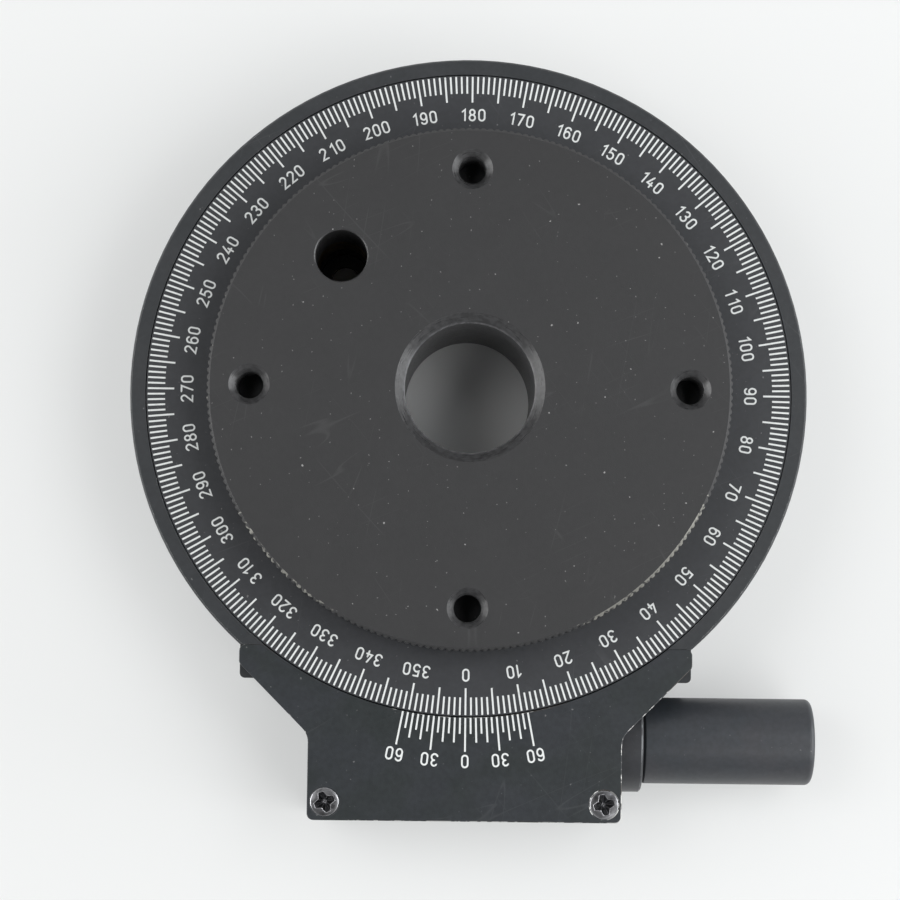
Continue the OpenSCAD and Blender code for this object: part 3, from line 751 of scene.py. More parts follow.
class GeometryTool(Graph):
    """A geometry node group whose inputs are set by name on a modifier."""

    def __init__(self, name: str, sizes: dict[str, str]) -> None:
        """Makes an empty group.

        Args:
            name: name of the group.
            sizes: type of each input by its name, such as NodeSocketFloat.
        """
        super().__init__(bpy.data.node_groups.new(name, "GeometryNodeTree"))
        self.ids = {}
        for size, kind in sizes.items():
            self.ids[size] = self.tree.interface.new_socket(size, in_out="INPUT", socket_type=kind).identifier
        self.tree.interface.new_socket("Geometry", in_out="OUTPUT", socket_type="NodeSocketGeometry")
        self.given = self.add("NodeGroupInput").outputs

    def end(self, geometry: Socket, *materials: Socket) -> None:
        """Closes the group with Realize Instances and Set Material.

        Args:
            geometry: the group's result.
            materials: its material, or one for each of the copied shape's slots.
        """
        result = self.out("GeometryNodeRealizeInstances", None, {0: geometry})
        slot = self.out("GeometryNodeInputMaterialIndex")
        for place, material in enumerate(materials):
            chosen = self.math("COMPARE", slot, float(place)) if len(materials) > 1 else True
            inputs = {"Geometry": result, "Selection": chosen, "Material": material}
            result = self.out("GeometryNodeSetMaterial", None, inputs)
        self.add("NodeGroupOutput", None, {0: result})

    def index(self) -> Socket:
        """Returns the number of each point."""
        return self.out("GeometryNodeInputIndex")

    def vector(self, x: Value = 0.0, y: Value = 0.0, z: Value = 0.0) -> Socket:
        """Returns a vector made of three numbers."""
        return self.out("ShaderNodeCombineXYZ", None, {0: x, 1: y, 2: z})

    def shape(self, given: Socket) -> Socket:
        """Returns the mesh of a given object, in the object's own space."""
        own_space = {"transform_space": "ORIGINAL"}
        return self.add("GeometryNodeObjectInfo", own_space, {"Object": given}).outputs["Geometry"]

    def copies(self, points: Socket, shape: Socket, angle: Socket, scale: object = (1, 1, 1)) -> Socket:
        """Returns copies of a shape at points, each turned about Z and scaled."""
        inputs = {"Points": points, "Instance": shape, "Rotation": self.vector(z=angle), "Scale": scale}
        return self.out("GeometryNodeInstanceOnPoints", None, inputs)

    def build(self, name: str, **values: object) -> Object:
        """Runs the group once and returns its result as a plain mesh object.

        Args:
            name: name of the new object.
            values: value of each input, its name in lower case with underscores.

        Returns:
            The new object.
        """
        obj = bpy.data.objects.new(name, bpy.data.meshes.new(name))
        bpy.context.scene.collection.objects.link(obj)
        tool = obj.modifiers.new(self.tree.name, "NODES")
        tool.node_group = self.tree
        for size, identifier in self.ids.items():
            tool[identifier] = values[size.lower().replace(" ", "_")]
        obj.update_tag()
        settle(obj)
        return obj


class GraduationTool(GeometryTool):
    """Marks set out along an arc, the longer ones at regular steps."""

    def __init__(self) -> None:
        """Builds the tree."""
        super().__init__("graduation", {
            "Count": INT, "Start": FLOAT, "Step": FLOAT, "Radius": FLOAT, "Height": FLOAT, "Outward": FLOAT,
            "Major Every": INT, "Middle Every": INT, "Major": FLOAT, "Middle": FLOAT, "Minor": FLOAT,
            "Width": FLOAT, "Thickness": FLOAT, "Material": MATERIAL,
        })
        given = self.given
        index = self.index()
        angle = self.math("ADD", given["Start"], self.math("MULTIPLY", given["Step"], index))
        x = self.product(given["Radius"], self.math("COSINE", angle))
        y = self.product(given["Radius"], self.math("SINE", angle))
        where = {"Count": given["Count"], "Position": self.vector(x, y, given["Height"])}
        points = self.out("GeometryNodePoints", None, where)
        major, middle = (self.every(index, given[key]) for key in ("Major Every", "Middle Every"))
        length = self.choose(major, self.choose(middle, given["Minor"], given["Middle"]), given["Major"])
        bar = self.out("GeometryNodeMeshCube", None, {"Size": (1, 1, 1)})
        shift = self.vector(self.math("MULTIPLY", given["Outward"], 0.5))
        bar = self.out("GeometryNodeTransform", None, {"Geometry": bar, "Translation": shift})
        size = self.vector(length, given["Width"], given["Thickness"])
        self.end(self.copies(points, bar, angle, size), given["Material"])

    def every(self, index: Socket, step: Socket) -> Socket:
        """Returns 1 where the index is a multiple of a step."""
        rest = self.math("MODULO", index, step)
        return self.math("LESS_THAN", rest, 0.5)

    def choose(self, test: Socket, otherwise: Socket, then: Socket) -> Socket:
        """Returns one of two values by a test of 0 or 1."""
        return self.out("ShaderNodeMix", {"data_type": "FLOAT"}, {0: test, 2: otherwise, 3: then})


class RingTool(GeometryTool):
    """Copies of one shape set round an axis, joined where they touch."""

    def __init__(self) -> None:
        """Builds the tree."""
        super().__init__("ring_of_copies", {"Shape": OBJECT, "Count": INT, "Material": MATERIAL})
        given = self.given
        angle = self.math("DIVIDE", self.math("MULTIPLY", self.index(), math.tau), given["Count"])
        points = self.out("GeometryNodePoints", None, {"Count": given["Count"]})
        copies = self.copies(points, self.shape(given["Shape"]), angle)
        real = self.out("GeometryNodeRealizeInstances", None, {0: copies})
        near = {"Geometry": real, "Distance": 1e-6}
        joined = self.out("GeometryNodeMergeByDistance", None, near)
        self.end(joined, given["Material"])


class PlacesTool(GeometryTool):
    """Copies of one shape at the points of another, each turned about Z."""

    def __init__(self) -> None:
        """Builds the tree."""
        super().__init__("copies_at_places", {
            "Shape": OBJECT, "Places": OBJECT, "Turn": FLOAT, "Turn Step": FLOAT, "Face": MATERIAL,
            "Edge": MATERIAL, "Turned": MATERIAL,
        })
        given = self.given
        angle = self.math("ADD", given["Turn"], self.math("MULTIPLY", self.index(), given["Turn Step"]))
        copies = self.copies(self.shape(given["Places"]), self.shape(given["Shape"]), angle)
        self.end(copies, *(given[kind] for kind in ("Face", "Edge", "Turned")))


# ---------- numerals ----------


@dataclass(frozen=True)
class NumeralStyle:
    """Narrow round figures drawn as strokes of one width, in millimetres."""

    height: float = 2.0
    width: float = 1.15
    stroke: float = 0.27
    pitch: float = 1.5
    proud: float = 0.02
    sunk: float = 0.04

    def strokes(self, figure: str) -> list[tuple[Outline, bool]]:
        """Lists the strokes of one figure.

        Args:
            figure: a character from 0 to 9.

        Returns:
            The centre line of each stroke about the figure's middle, and whether it is closed.
        """
        w, h = self.width - self.stroke, self.height - self.stroke
        r = w / 2

        def arc(cx: float, cy: float, rx: float, ry: float, a0: float, a1: float) -> Outline:
            """Returns points of an arc between two angles in degrees."""
            n = max(4, round(abs(a1 - a0) / 15))
            steps = [math.radians(a0 + (a1 - a0) * i / n) for i in range(n + 1)]
            return [(cx + rx * math.cos(a), cy + ry * math.sin(a)) for a in steps]

        oval = arc(r, h - r, r, r, 0, 180) + arc(r, r, r, r, 180, 360)
        lower = arc(r, 0.31 * h, r, 0.31 * h, 180, 540)[:-1]
        shapes = {
            "0": [(oval, True)],
            "1": [([(0.45 * w, 0.79 * h), (0.91 * w, h), (0.91 * w, 0)], False)],
            "2": [(arc(r, h - r, r, r, 165, -30) + [(0, 0), (w, 0)], False)],
            "3": [
                (arc(0.47 * w, 0.765 * h, 0.46 * w, 0.235 * h, 155, -90), False),
                (arc(0.47 * w, 0.265 * h, 0.53 * w, 0.265 * h, 90, -155), False),
            ],
            "4": [
                ([(0.55 * w, h), (0, 0.27 * h), (w, 0.27 * h)], False),
                ([(0.72 * w, 0.52 * h), (0.72 * w, 0)], False),
            ],
            "5": [([(0.92 * w, h), (0.14 * w, h), (0.08 * w, 0.55 * h)]
                   + arc(0.46 * w, 0.31 * h, 0.54 * w, 0.31 * h, 125, -150), False)],
            "6": [(lower, True), (arc(r, h - r, r, r, 25, 180) + [(0, 0.31 * h)], False)],
            "7": [([(0, h), (w, h), (0.3 * w, 0)], False)],
            "8": [
                (arc(r, 0.76 * h, 0.43 * w, 0.24 * h, 0, 360)[:-1], True),
                (arc(r, 0.26 * h, r, 0.26 * h, 0, 360)[:-1], True),
            ],
        }
        shapes["9"] = [([(w - x, h - y) for x, y in line], closed) for line, closed in shapes["6"]]
        return [([(x - w / 2, y - h / 2) for x, y in line], closed) for line, closed in shapes[figure]]

    def write(self, bm: BMesh, text: str, place: Matrix) -> None:
        """Adds a number, its middle at the place's origin and its surface at height 0.

        Args:
            bm: the mesh to add to.
            text: the figures.
            place: from the number's plane, in millimetres, to the object, in metres.
        """
        for k, figure in enumerate(text):
            x = (k - (len(text) - 1) / 2) * self.pitch
            for layer, (line, closed) in enumerate(self.strokes(figure)):
                top = self.proud + 0.002 * layer
                self.ribbon(bm, [(px + x, py) for px, py in line], closed, top, place)

    def write_around(self, bm: BMesh, text: str, angle: float, radius: float) -> None:
        """Adds a number on the dial's face, its top away from the axis.

        Args:
            bm: the mesh to add to.
            text: the figures.
            angle: direction of the number from the axis, in radians.
            radius: distance of its middle from the axis, in millimetres.
        """
        turn = Matrix.Rotation(angle - math.pi / 2, 4, "Z")
        self.write(bm, text, at(0, 0, DIAL_Z) @ turn @ at(0, radius) @ Matrix.Scale(MM, 4))

    def ribbon(self, bm: BMesh, line: Outline, closed: bool, top: float, place: Matrix) -> None:
        """Adds one stroke as a closed strip of even width with round ends."""
        n, half = len(line), self.stroke / 2
        points = [Vector(p) for p in line]
        sides = []
        for i, p in enumerate(points):
            before = points[i - 1] if closed or i > 0 else None
            after = points[(i + 1) % n] if closed or i < n - 1 else None
            u = (p - before).normalized() if before is not None else None
            v = (after - p).normalized() if after is not None else None
            along = ((u or v) + (v or u)).normalized()
            across = Vector((-along.y, along.x))
            reach = half / max(0.5, across.dot(Vector((-(v or u).y, (v or u).x))))
            sides.append((p + across * reach, p - across * reach))
        sections = list(sides)
        if not closed:
            back = (points[0] - points[1]).normalized()
            front = (points[-1] - points[-2]).normalized()
            sections = self.cap(points[0], back, half)[::-1] + sides + self.cap(points[-1], front, half)
        rows = []
        for left, right in sections:
            rows.append([
                bm.verts.new(place @ Vector((q.x, q.y, z)))
                for q, z in ((left, top), (right, top), (right, -self.sunk), (left, -self.sunk))
            ])
        count = len(rows)
        for i in range(count if closed else count - 1):
            a, b = rows[i], rows[(i + 1) % count]
            for k in range(4):
                bm.faces.new((a[k], b[k], b[(k + 1) % 4], a[(k + 1) % 4]))
        if not closed:
            bm.faces.new(rows[0])
            bm.faces.new(rows[-1][::-1])

    @staticmethod
    def cap(end: Vector, outward: Vector, half: float) -> list[tuple[Vector, Vector]]:
        """Returns the narrowing cross sections of a round end, going outwards."""
        left = Vector((-outward.y, outward.x))
        sections = []
        for a in (30, 55, 75):
            c, s = math.cos(math.radians(a)) * half, math.sin(math.radians(a)) * half
            sections.append((end + outward * s + left * c, end + outward * s - left * c))
        return sections


def graduation(name: str, body: str, lengths: tuple[float, float, float], radius: float,
               **sizes: float) -> None:
    """Makes a row of painted marks on the dial's level.

    Args:
        name: name of the piece.
        body: name of the body that carries it.
        lengths: of the major, middle and minor marks, in millimetres.
        radius: where the marks start, in millimetres.
        sizes: the graduation tool's other inputs.
    """
    major, middle, minor = (length * MM for length in lengths)
    marks = GRADUATION.build(
        name, radius=radius * MM, height=DIAL_Z * MM, major=major, middle=middle, minor=minor,
        width=MARK_WIDTH * MM, thickness=MARK_THICKNESS * MM, material=mark_fill(), **sizes,
    )
    hand_over(marks, body, "black_plate")


def numbers(name: str, body: str, style: NumeralStyle, radius: float, texts: dict[float, str]) -> None:
    """Makes a row of painted numbers round the axis.

    Args:
        name: name of the piece.
        body: name of the body that carries it.
        style: how the figures look.
        radius: distance of the numbers' middles from the axis, in millimetres.
        texts: each number by its direction from the axis, in radians.
    """
    bm = bmesh.new()
    for angle, text in texts.items():
        style.write_around(bm, text, angle, radius)
    obj = new_object(name, bm)
    obj.data.materials.append(mark_fill())
    hand_over(obj, body, "black_plate")


# ---------- studio ----------


@dataclass(frozen=True)
class Softbox:
    """Rectangular lamp that faces the stage, its place and size in millimetres."""

    name: str
    place: Point
    size: tuple[float, float]
    watts: float
    colour: Colour = (1.0, 1.0, 1.0)

    def build(self) -> None:
        """Makes the lamp."""
        light = bpy.data.lights.new(self.name, "AREA")
        light.shape = "RECTANGLE"
        light.size, light.size_y = self.size[0] * MM, self.size[1] * MM
        light.energy = self.watts
        light.color = self.colour
        obj = bpy.data.objects.new(self.name, light)
        obj.location = Vector(self.place) * MM
        aim = Vector((0, 0, 10 * MM)) - obj.location
        obj.rotation_euler = aim.to_track_quat("-Z", "Y").to_euler()
        bpy.context.scene.collection.objects.link(obj)


COOL = (0.97, 0.985, 1.0)
SOFTBOXES = (
    Softbox("key_softbox", (420, -260, 520), (520, 520), 1.7),
    Softbox("right_window", (330, 100, 560), (260, 320), 0.6, COOL),
    Softbox("left_window", (-330, 100, 560), (260, 320), 0.58),
    Softbox("right_strip", (780, 0, 210), (700, 240), 3.6, COOL),
    Softbox("left_strip", (-780, 0, 210), (700, 240), 3.1),
)


@dataclass
class Studio:
    """Pale floor, soft light from both sides and the camera over the stage."""

    eye: Point = (-7.73, -42.85, 409.67)
    target: Point = (-2.864, -9.035, DIAL_Z)
    roll: float = 0.70
    lens: float = 100.97
    floor_half: float = 3000.0
    floor_gap: float = 0.02
    sky_light: float = 0.735
    overhead: float = 0.1
    front: float = 0.8

    def build(self) -> None:
        """Makes the floor, the lamps, the sky and the camera."""
        self.floor()
        for softbox in SOFTBOXES:
            softbox.build()
        self.sky()
        self.camera()

    def floor(self) -> None:
        """Makes the floor under the mounting face."""
        bm = bmesh.new()
        bmesh.ops.create_grid(bm, x_segments=8, y_segments=8, size=self.floor_half * MM)
        bmesh.ops.translate(bm, verts=bm.verts, vec=(0, 0, -self.floor_gap * MM))
        obj = new_object("floor", bm)
        obj.data.materials.append(FLOOR_PAPER.material())

    def sky(self) -> None:
        """Makes the soft light from all round, weaker overhead and in front."""
        world = bpy.data.worlds.new("sky")
        world.use_nodes = True
        graph = Graph(world.node_tree)
        graph.tree.nodes.clear()
        towards = graph.add("ShaderNodeTexCoord").outputs["Generated"]
        split = graph.add("ShaderNodeSeparateXYZ", None, {0: towards})
        overhead = graph.ramp(split.outputs["Z"], 0.78, 0.96, 1.0, self.overhead)
        front = graph.ramp(split.outputs["Y"], -0.8, 0.2, self.front, 1.0)
        strength = graph.product(self.sky_light, overhead, front)
        light = {"Color": (0.985, 0.992, 1.0, 1.0), "Strength": strength}
        back = graph.out("ShaderNodeBackground", None, light)
        graph.add("ShaderNodeOutputWorld", None, {"Surface": back})
        bpy.context.scene.world = world

    def camera(self) -> None:
        """Makes the camera, looking almost straight down."""
        data = bpy.data.cameras.new("camera")
        data.lens = self.lens
        data.sensor_width = 36.0
        data.clip_start, data.clip_end = 0.01, 20.0
        obj = bpy.data.objects.new("camera", data)
        eye, target = Vector(self.eye) * MM, Vector(self.target) * MM
        back = (eye - target).normalized()
        right = Vector((0, 1, 0)).cross(back).normalized()
        up = back.cross(right)
        axes = Matrix((right, up, back)).transposed().to_4x4()
        obj.matrix_world = Matrix.Translation(eye) @ axes @ Matrix.Rotation(math.radians(self.roll), 4, "Z")
        bpy.context.scene.collection.objects.link(obj)
        bpy.context.scene.camera = obj


# ---------- rotating table ----------


@dataclass
class TableTop:
    """Knurled table with its hub, bore, tapped holes and screw access hole."""

    rim_r: float = 40.25
    groove: float = 0.3
    teeth: int = 230
    crest: float = 0.35
    top_edge_r: float = 39.74
    chamfer: float = 0.5
    core_r: float = 39.0
    bore_r: float = 10.0
    bore_chamfer: float = 1.5
    hole_r: float = 33.75
    tap_r: float = 2.1
    thread_r: float = 2.5
    thread_pitch: float = 0.8
    hole_mouth_r: float = 3.15
    land_r: float = 2.12
    land_depth: float = 1.6
    access_chamfer: float = 0.2
    hub_z: float = 0.7
    hub_r: float = 15.0
    hub_chamfer: float = 0.3
    bore_low_chamfer: float = 0.5
    race_r: float = 17.15
    race_top_z: float = 16.5
    hollow_z: float = 18.0
    hollow_r: float = 25.5
    spigot_r: float = 29.98
    thread_under: float = 0.9
    thread_turns: int = 9
    thread_columns: int = 40

    def build(self) -> Object:
        """Makes the table in place of its CAD node."""
        table = new_object("table_top", self.turned())
        dress(table, TABLE_BLACK)
        self.join(table, self.knurl())
        cut(table, self.tapped_threads(), self.mouths())
        smooth(table)
        hand_over(table, TABLE, "black_table", "table")
        return table

    def tooth(self) -> tuple[float, float]:
        """Returns the angle between two teeth and half the angle of a crest, in radians."""
        return math.tau / self.teeth, self.crest / self.rim_r / 2

    def columns(self) -> list[float]:
        """Returns the angles of the knurl's valleys and of both ends of its crests."""
        step, crest = self.tooth()
        return [step * k + part for k in range(self.teeth) for part in (-step / 2, -crest, crest)]

    def turned(self) -> BMesh:
        """Returns the turned disc and hub, open where the knurled band closes it."""
        bm = bmesh.new()
        mouth_r = self.bore_r + self.bore_chamfer
        lathe(bm, [
            (self.core_r, TABLE_Z), (mouth_r, TABLE_Z), (self.bore_r, TABLE_Z - self.bore_chamfer),
            (self.bore_r, self.hub_z + self.bore_low_chamfer),
            (self.bore_r + self.bore_low_chamfer, self.hub_z),
            (self.hub_r - self.hub_chamfer, self.hub_z), (self.hub_r, self.hub_z + self.hub_chamfer),
            (self.hub_r, self.race_top_z), (self.race_r, self.race_top_z), (self.race_r, self.hollow_z),
            (self.hollow_r, self.hollow_z), (self.hollow_r, DIAL_LOW_Z), (self.spigot_r, DIAL_LOW_Z),
            (self.spigot_r, DIAL_Z), (self.core_r, DIAL_Z),
        ], self.columns(), closed=False)
        bm.normal_update()
        for face in bm.faces:
            centre = face.calc_center_median() / MM
            if math.hypot(centre.x, centre.y) < mouth_r and abs(face.normal.z) < 0.9:
                face.material_index = SLOT[Surface.TURNED]
        return bm

    def hole_places(self) -> list[Matrix]:
        """Returns the places of the four tapped holes, in metres."""
        quarters = (Matrix.Rotation(math.radians(90 * k), 4, "Z") for k in range(4))
        return [turn @ at(self.hole_r, 0) for turn in quarters]

    def tapped_threads(self) -> Object:
        """Returns the cutter of the four threads."""
        bm = bmesh.new()
        for place in self.hole_places():
            self.thread(bm, place)
        return turned_cutter("tapped_threads", bm)

    def mouths(self) -> Object:
        """Returns the cutter of the holes' chamfers and of the access hole."""
        bm = bmesh.new()
        deep = self.hole_mouth_r - self.land_r
        for place in self.hole_places():
            lathe(bm, [
                (0, TABLE_Z - self.land_depth), (self.land_r, TABLE_Z - self.land_depth),
                (self.land_r, TABLE_Z - deep), (self.hole_mouth_r, TABLE_Z),
                (self.hole_mouth_r, TABLE_Z + CUT_OVER), (0, TABLE_Z + CUT_OVER),
            ], even_angles(72), place)
        wide = ACCESS_R + self.access_chamfer
        lathe(bm, [
            (0, ACCESS_FOOT_Z), (ACCESS_R, ACCESS_FOOT_Z), (ACCESS_R, TABLE_Z - self.access_chamfer),
            (wide, TABLE_Z), (wide, TABLE_Z + CUT_OVER), (0, TABLE_Z + CUT_OVER),
        ], even_angles(96), at(ACCESS_X, ACCESS_Y))
        return turned_cutter("hole_mouths", bm)

    def thread(self, bm: BMesh, place: Matrix) -> None:
        """Adds a threaded rod that cuts one tapped hole."""
        turns, columns = self.thread_turns, self.thread_columns
        shape = ((0.0, self.tap_r), (0.45, self.thread_r), (0.55, self.thread_r), (0.98, self.tap_r))
        foot = DIAL_Z - self.thread_under
        grid = []
        for i in range(columns):
            a = math.tau * i / columns
            start = foot + self.thread_pitch * i / columns
            grid.append([
                bm.verts.new(place @ (Vector((
                    r * math.cos(a), r * math.sin(a), start + (t + part) * self.thread_pitch,
                )) * MM))
                for t in range(turns) for part, r in shape
            ])
        rows, shift = len(grid[0]), len(shape)
        for i in range(columns - 1):
            for k in range(rows - 1):
                bm.faces.new((grid[i][k], grid[i + 1][k], grid[i + 1][k + 1], grid[i][k + 1]))
        for k in range(rows - 1 - shift):
            last = grid[-1]
            bm.faces.new((last[k], grid[0][k + shift], grid[0][k + shift + 1], last[k + 1]))
        low = bm.verts.new(place @ Vector((0, 0, (foot - 0.5) * MM)))
        high = bm.verts.new(place @ Vector((0, 0, (foot + (turns + 1.5) * self.thread_pitch) * MM)))
        bottom = [grid[i][0] for i in range(columns)] + [grid[0][k] for k in range(shift, 0, -1)]
        top = [grid[i][-1] for i in range(columns)] + [grid[-1][rows - 1 - k] for k in range(1, shift + 1)]
        for ring, tip in ((bottom, low), (top, high)):
            for here, after in zip(ring, ring[1:] + ring[:1]):
                bm.faces.new((here, after, tip))

    def knurl(self) -> Object:
        """Returns the knurled band, with the chamfers of the rim turned across its teeth."""
        step, crest = self.tooth()
        low_r = self.rim_r - self.groove
        foot = (low_r - self.top_edge_r) * self.chamfer / (self.rim_r - self.top_edge_r)

        def half(outer_r: float) -> Outline:
            """Returns the profile from the core to the middle of the band, upside down."""
            return [(self.core_r, 0), (self.top_edge_r, 0), (low_r, foot), (outer_r, self.chamfer)]

        rows = []
        bm = bmesh.new()
        section = ((-step / 2, low_r), (-crest, self.rim_r), (crest, self.rim_r), (step / 2, low_r))
        for angle, outer_r in section:
            profile = [(r, DIAL_Z + rise) for r, rise in half(outer_r)]
            profile += [(r, TABLE_Z - rise) for r, rise in reversed(half(outer_r))]
            rows.append([
                bm.verts.new((r * math.cos(angle) * MM, r * math.sin(angle) * MM, z * MM)) for r, z in profile
            ])
        for a, b in zip(rows, rows[1:]):
            for k in range(len(a) - 1):
                bm.faces.new((a[k], b[k], b[k + 1], a[k + 1]))
        tooth = new_object("knurl_tooth", bm)
        material = made(TABLE_BLACK, Surface.EDGE)
        band = RING_OF_COPIES.build("knurl_band", shape=tooth, count=self.teeth, material=material)
        bpy.data.objects.remove(tooth)
        return band

    @staticmethod
    def join(table: Object, band: Object) -> None:
        """Closes the table with the knurled band, of which only the chamfers are edges."""
        bm = bmesh.new()
        bm.from_mesh(table.data)
        count = len(bm.faces)
        bm.from_mesh(band.data)
        bm.faces.ensure_lookup_table()
        bm.normal_update()
        for face in bm.faces[count:]:
            slanted = 0.2 < abs(face.normal.z) < 0.99
            face.material_index = SLOT[Surface.EDGE if slanted else Surface.FACE]
        bmesh.ops.remove_doubles(bm, verts=bm.verts, dist=1e-6)
        bmesh.ops.recalc_face_normals(bm, faces=bm.faces)
        bm.to_mesh(table.data)
        bm.free()
        bpy.data.objects.remove(band)


@dataclass
class Dial:
    """Graduated ring under the table."""

    outer_r: float = 50.2
    bore_r: float = 30.0
    edge: float = 0.06
    mark_r: float = 50.0
    mark_lengths: tuple[float, float, float] = (4.12, 4.03, 2.7)
    number_r: float = 43.88
    style: NumeralStyle = field(default_factory=NumeralStyle)

    def build(self) -> None:
        """Makes the ring and its marks."""
        bm = bmesh.new()
        e = self.edge
        lathe(bm, [
            (self.bore_r, DIAL_LOW_Z), (self.outer_r - e, DIAL_LOW_Z), (self.outer_r, DIAL_LOW_Z + e),
            (self.outer_r, DIAL_Z - e), (self.outer_r - e, DIAL_Z), (self.bore_r, DIAL_Z),
        ], even_angles(360))
        ring = new_object("dial_plate", bm)
        dress(ring, DIAL_BLACK)
        cut(ring, drill("dial_access", ACCESS_R, ACCESS_FOOT_Z, 20.0, at(ACCESS_X, ACCESS_Y)))
        smooth(ring)
        hand_over(ring, TABLE, "black_plate", "dial_ring")
        self.marks()

    def marks(self) -> None:
        """Makes the graduation and its numbers."""
        graduation(
            "dial_graduation", TABLE, self.mark_lengths, self.mark_r, count=360, start=-math.pi / 2,
            step=math.radians(1), outward=-1.0, major_every=10, middle_every=5,
        )
        texts = {math.radians(degrees - 90): str(degrees) for degrees in range(0, 360, 10)}
        numbers("dial_numbers", TABLE, self.style, self.number_r, texts)


# ---------- body ----------


@dataclass
class VernierPlate:
    """Flat plate over the worm, with the vernier marks and two screws."""

    ear_x: float = 35.0
    top_y: float = -39.5
    ear_h: float = 2.9
    side_x: float = 24.2
    front_y: float = -66.3
    arc_r: float = 50.35
    low_z: float = 16.7
    corner_r: float = 1.0
    fillet_r: float = 3.0
    screw: tuple[float, float] = (21.5, -63.5)
    head_r: float = 2.2
    seat_r: float = 1.27
    seat_gap: float = 0.05
    seat_depth: float = 1.0
    shank_r: float = 1.25
    shank_l: float = 4.5
    mark_gap: float = 0.08
    mark_lengths: tuple[float, float, float] = (5.2, 3.8, 2.45)
    divisions: int = 12
    number_r: float = 57.1
    style: NumeralStyle = field(default_factory=lambda: NumeralStyle(height=2.07))

    def build(self) -> None:
        """Makes the plate, its marks and its screws."""
        bm = bmesh.new()
        prism(bm, self.outline(), self.low_z, DIAL_Z)
        plate = new_object("plate", bm)
        dress(plate, PLATE_BLACK)
        cut(plate, self.screw_seats())
        soften(plate, 0.12)
        smooth(plate)
        hand_over(plate, BASE, "black_plate", "vernier_plate")
        self.marks()
        self.screws()

    def outline(self) -> Outline:
        """Returns the plate's outline, counter-clockwise, with the dial's arc."""
        ear_y = self.top_y - self.ear_h
        diagonal_y = ear_y - (self.ear_x - self.side_x)
        corners = [
            (-self.ear_x, self.top_y), (-self.ear_x, ear_y), (-self.side_x, diagonal_y),
            (-self.side_x, self.front_y), (self.side_x, self.front_y), (self.side_x, diagonal_y),
            (self.ear_x, ear_y), (self.ear_x, self.top_y),
        ]
        half = [self.corner_r, self.corner_r, self.fillet_r, self.corner_r]
        radii = half + half[::-1]
        arc_x = math.sqrt(self.arc_r ** 2 - self.top_y ** 2)
        ends = [(-arc_x, self.top_y)] + corners + [(arc_x, self.top_y)]
        outline: Outline = []
        for i, radius in enumerate(radii):
            outline += rounded_corner(ends[i + 1], ends[i], ends[i + 2], radius, 6)
        a1 = math.atan2(self.top_y, arc_x)
        a0 = -math.pi - a1
        arc = [a1 + (a0 - a1) * i / ARC_STEPS for i in range(ARC_STEPS + 1)]
        return outline + [(self.arc_r * math.cos(a), self.arc_r * math.sin(a)) for a in arc]

    def screw_seats(self) -> Object:
        """Returns the cutter of the two countersunk screw seats."""
        bm = bmesh.new()
        x, y = self.screw
        wide = self.head_r + self.seat_gap
        for side in (-1, 1):
            lathe(bm, [
                (0, self.low_z - CUT_OVER), (self.seat_r, self.low_z - CUT_OVER),
                (self.seat_r, DIAL_Z - self.seat_depth), (wide, DIAL_Z), (wide, DIAL_Z + CUT_OVER),
                (0, DIAL_Z + CUT_OVER),
            ], even_angles(48), at(side * x, y))
        return new_object("plate_seats", bm)

    def marks(self) -> None:
        """Makes the vernier's marks and numbers."""
        n = self.divisions
        step = math.radians((n - 1) / n)
        graduation(
            "vernier_graduation", BASE, self.mark_lengths, self.arc_r + self.mark_gap, count=2 * n + 1,
            start=-math.pi / 2 - n * step, step=step, outward=1.0, major_every=n // 2, middle_every=2,
        )
        texts = {-math.pi / 2 + k * step: str(abs(k) * 60 // n) for k in range(-n, n + 1, n // 2)}
        numbers("vernier_numbers", BASE, self.style, self.number_r, texts)

    def screws(self) -> None:
        """Makes the two countersunk cross-recess screws."""
        head = self.head_r
        bm = bmesh.new()
        lathe(bm, [
            (0, -self.shank_l), (1.0, -self.shank_l), (self.shank_r, 0.3 - self.shank_l),
            (self.shank_r, -self.seat_depth), (head - 0.12, -0.13), (head, 0.0),
            (head - 0.05, 0.08), (head - 0.2, 0.14), (head * 0.6, 0.19), (0, 0.2),
        ], even_angles(64))
        screw = new_object("plate_screw", bm)
        dress(screw, SCREW_STEEL)
        cut(screw, turned_cutter("cross_recess", self.recess()))
        soften(screw, 0.06, 30)
        smooth(screw)
        places = bpy.data.meshes.new("screw_places")
        x, y = self.screw
        places.from_pydata([(-x * MM, y * MM, DIAL_Z * MM), (x * MM, y * MM, DIAL_Z * MM)], [], [])
        spots = bpy.data.objects.new("screw_places", places)
        bpy.context.scene.collection.objects.link(spots)
        pair = COPIES_AT_PLACES.build(
            "plate_screws", shape=screw, places=spots, turn=math.radians(22), turn_step=math.radians(-8),
            **{surface.value: made(SCREW_STEEL, surface) for surface in Surface},
        )
        for helper in (screw, spots):
            bpy.data.objects.remove(helper)
        hand_over(pair, BASE, "screw_steel", "vernier_plate_screws")

    @staticmethod
    def recess() -> BMesh:
        """Returns the tapered shape of a cross recess."""
        bm = bmesh.new()
        rings = []
        for z, tip, half, waist in ((0.6, 1.72, 0.42, 0.78), (0.0, 1.55, 0.36, 0.68), (-1.6, 0.3, 0.08, 0.1)):
            ring = []
            for quarter in range(4):
                turn = Matrix.Rotation(math.radians(90 * quarter), 4, "Z")
                for x, y in ((tip, -half), (tip, half), (waist, waist)):
                    ring.append(bm.verts.new(turn @ Vector((x * MM, y * MM, z * MM))))
            rings.append(ring)
        for a, b in zip(rings, rings[1:]):
            for k in range(len(a)):
                j = (k + 1) % len(a)
                bm.faces.new((a[k], a[j], b[j], b[k]))
        bm.faces.new(rings[0])
        bm.faces.new(rings[-1][::-1])
        return bm


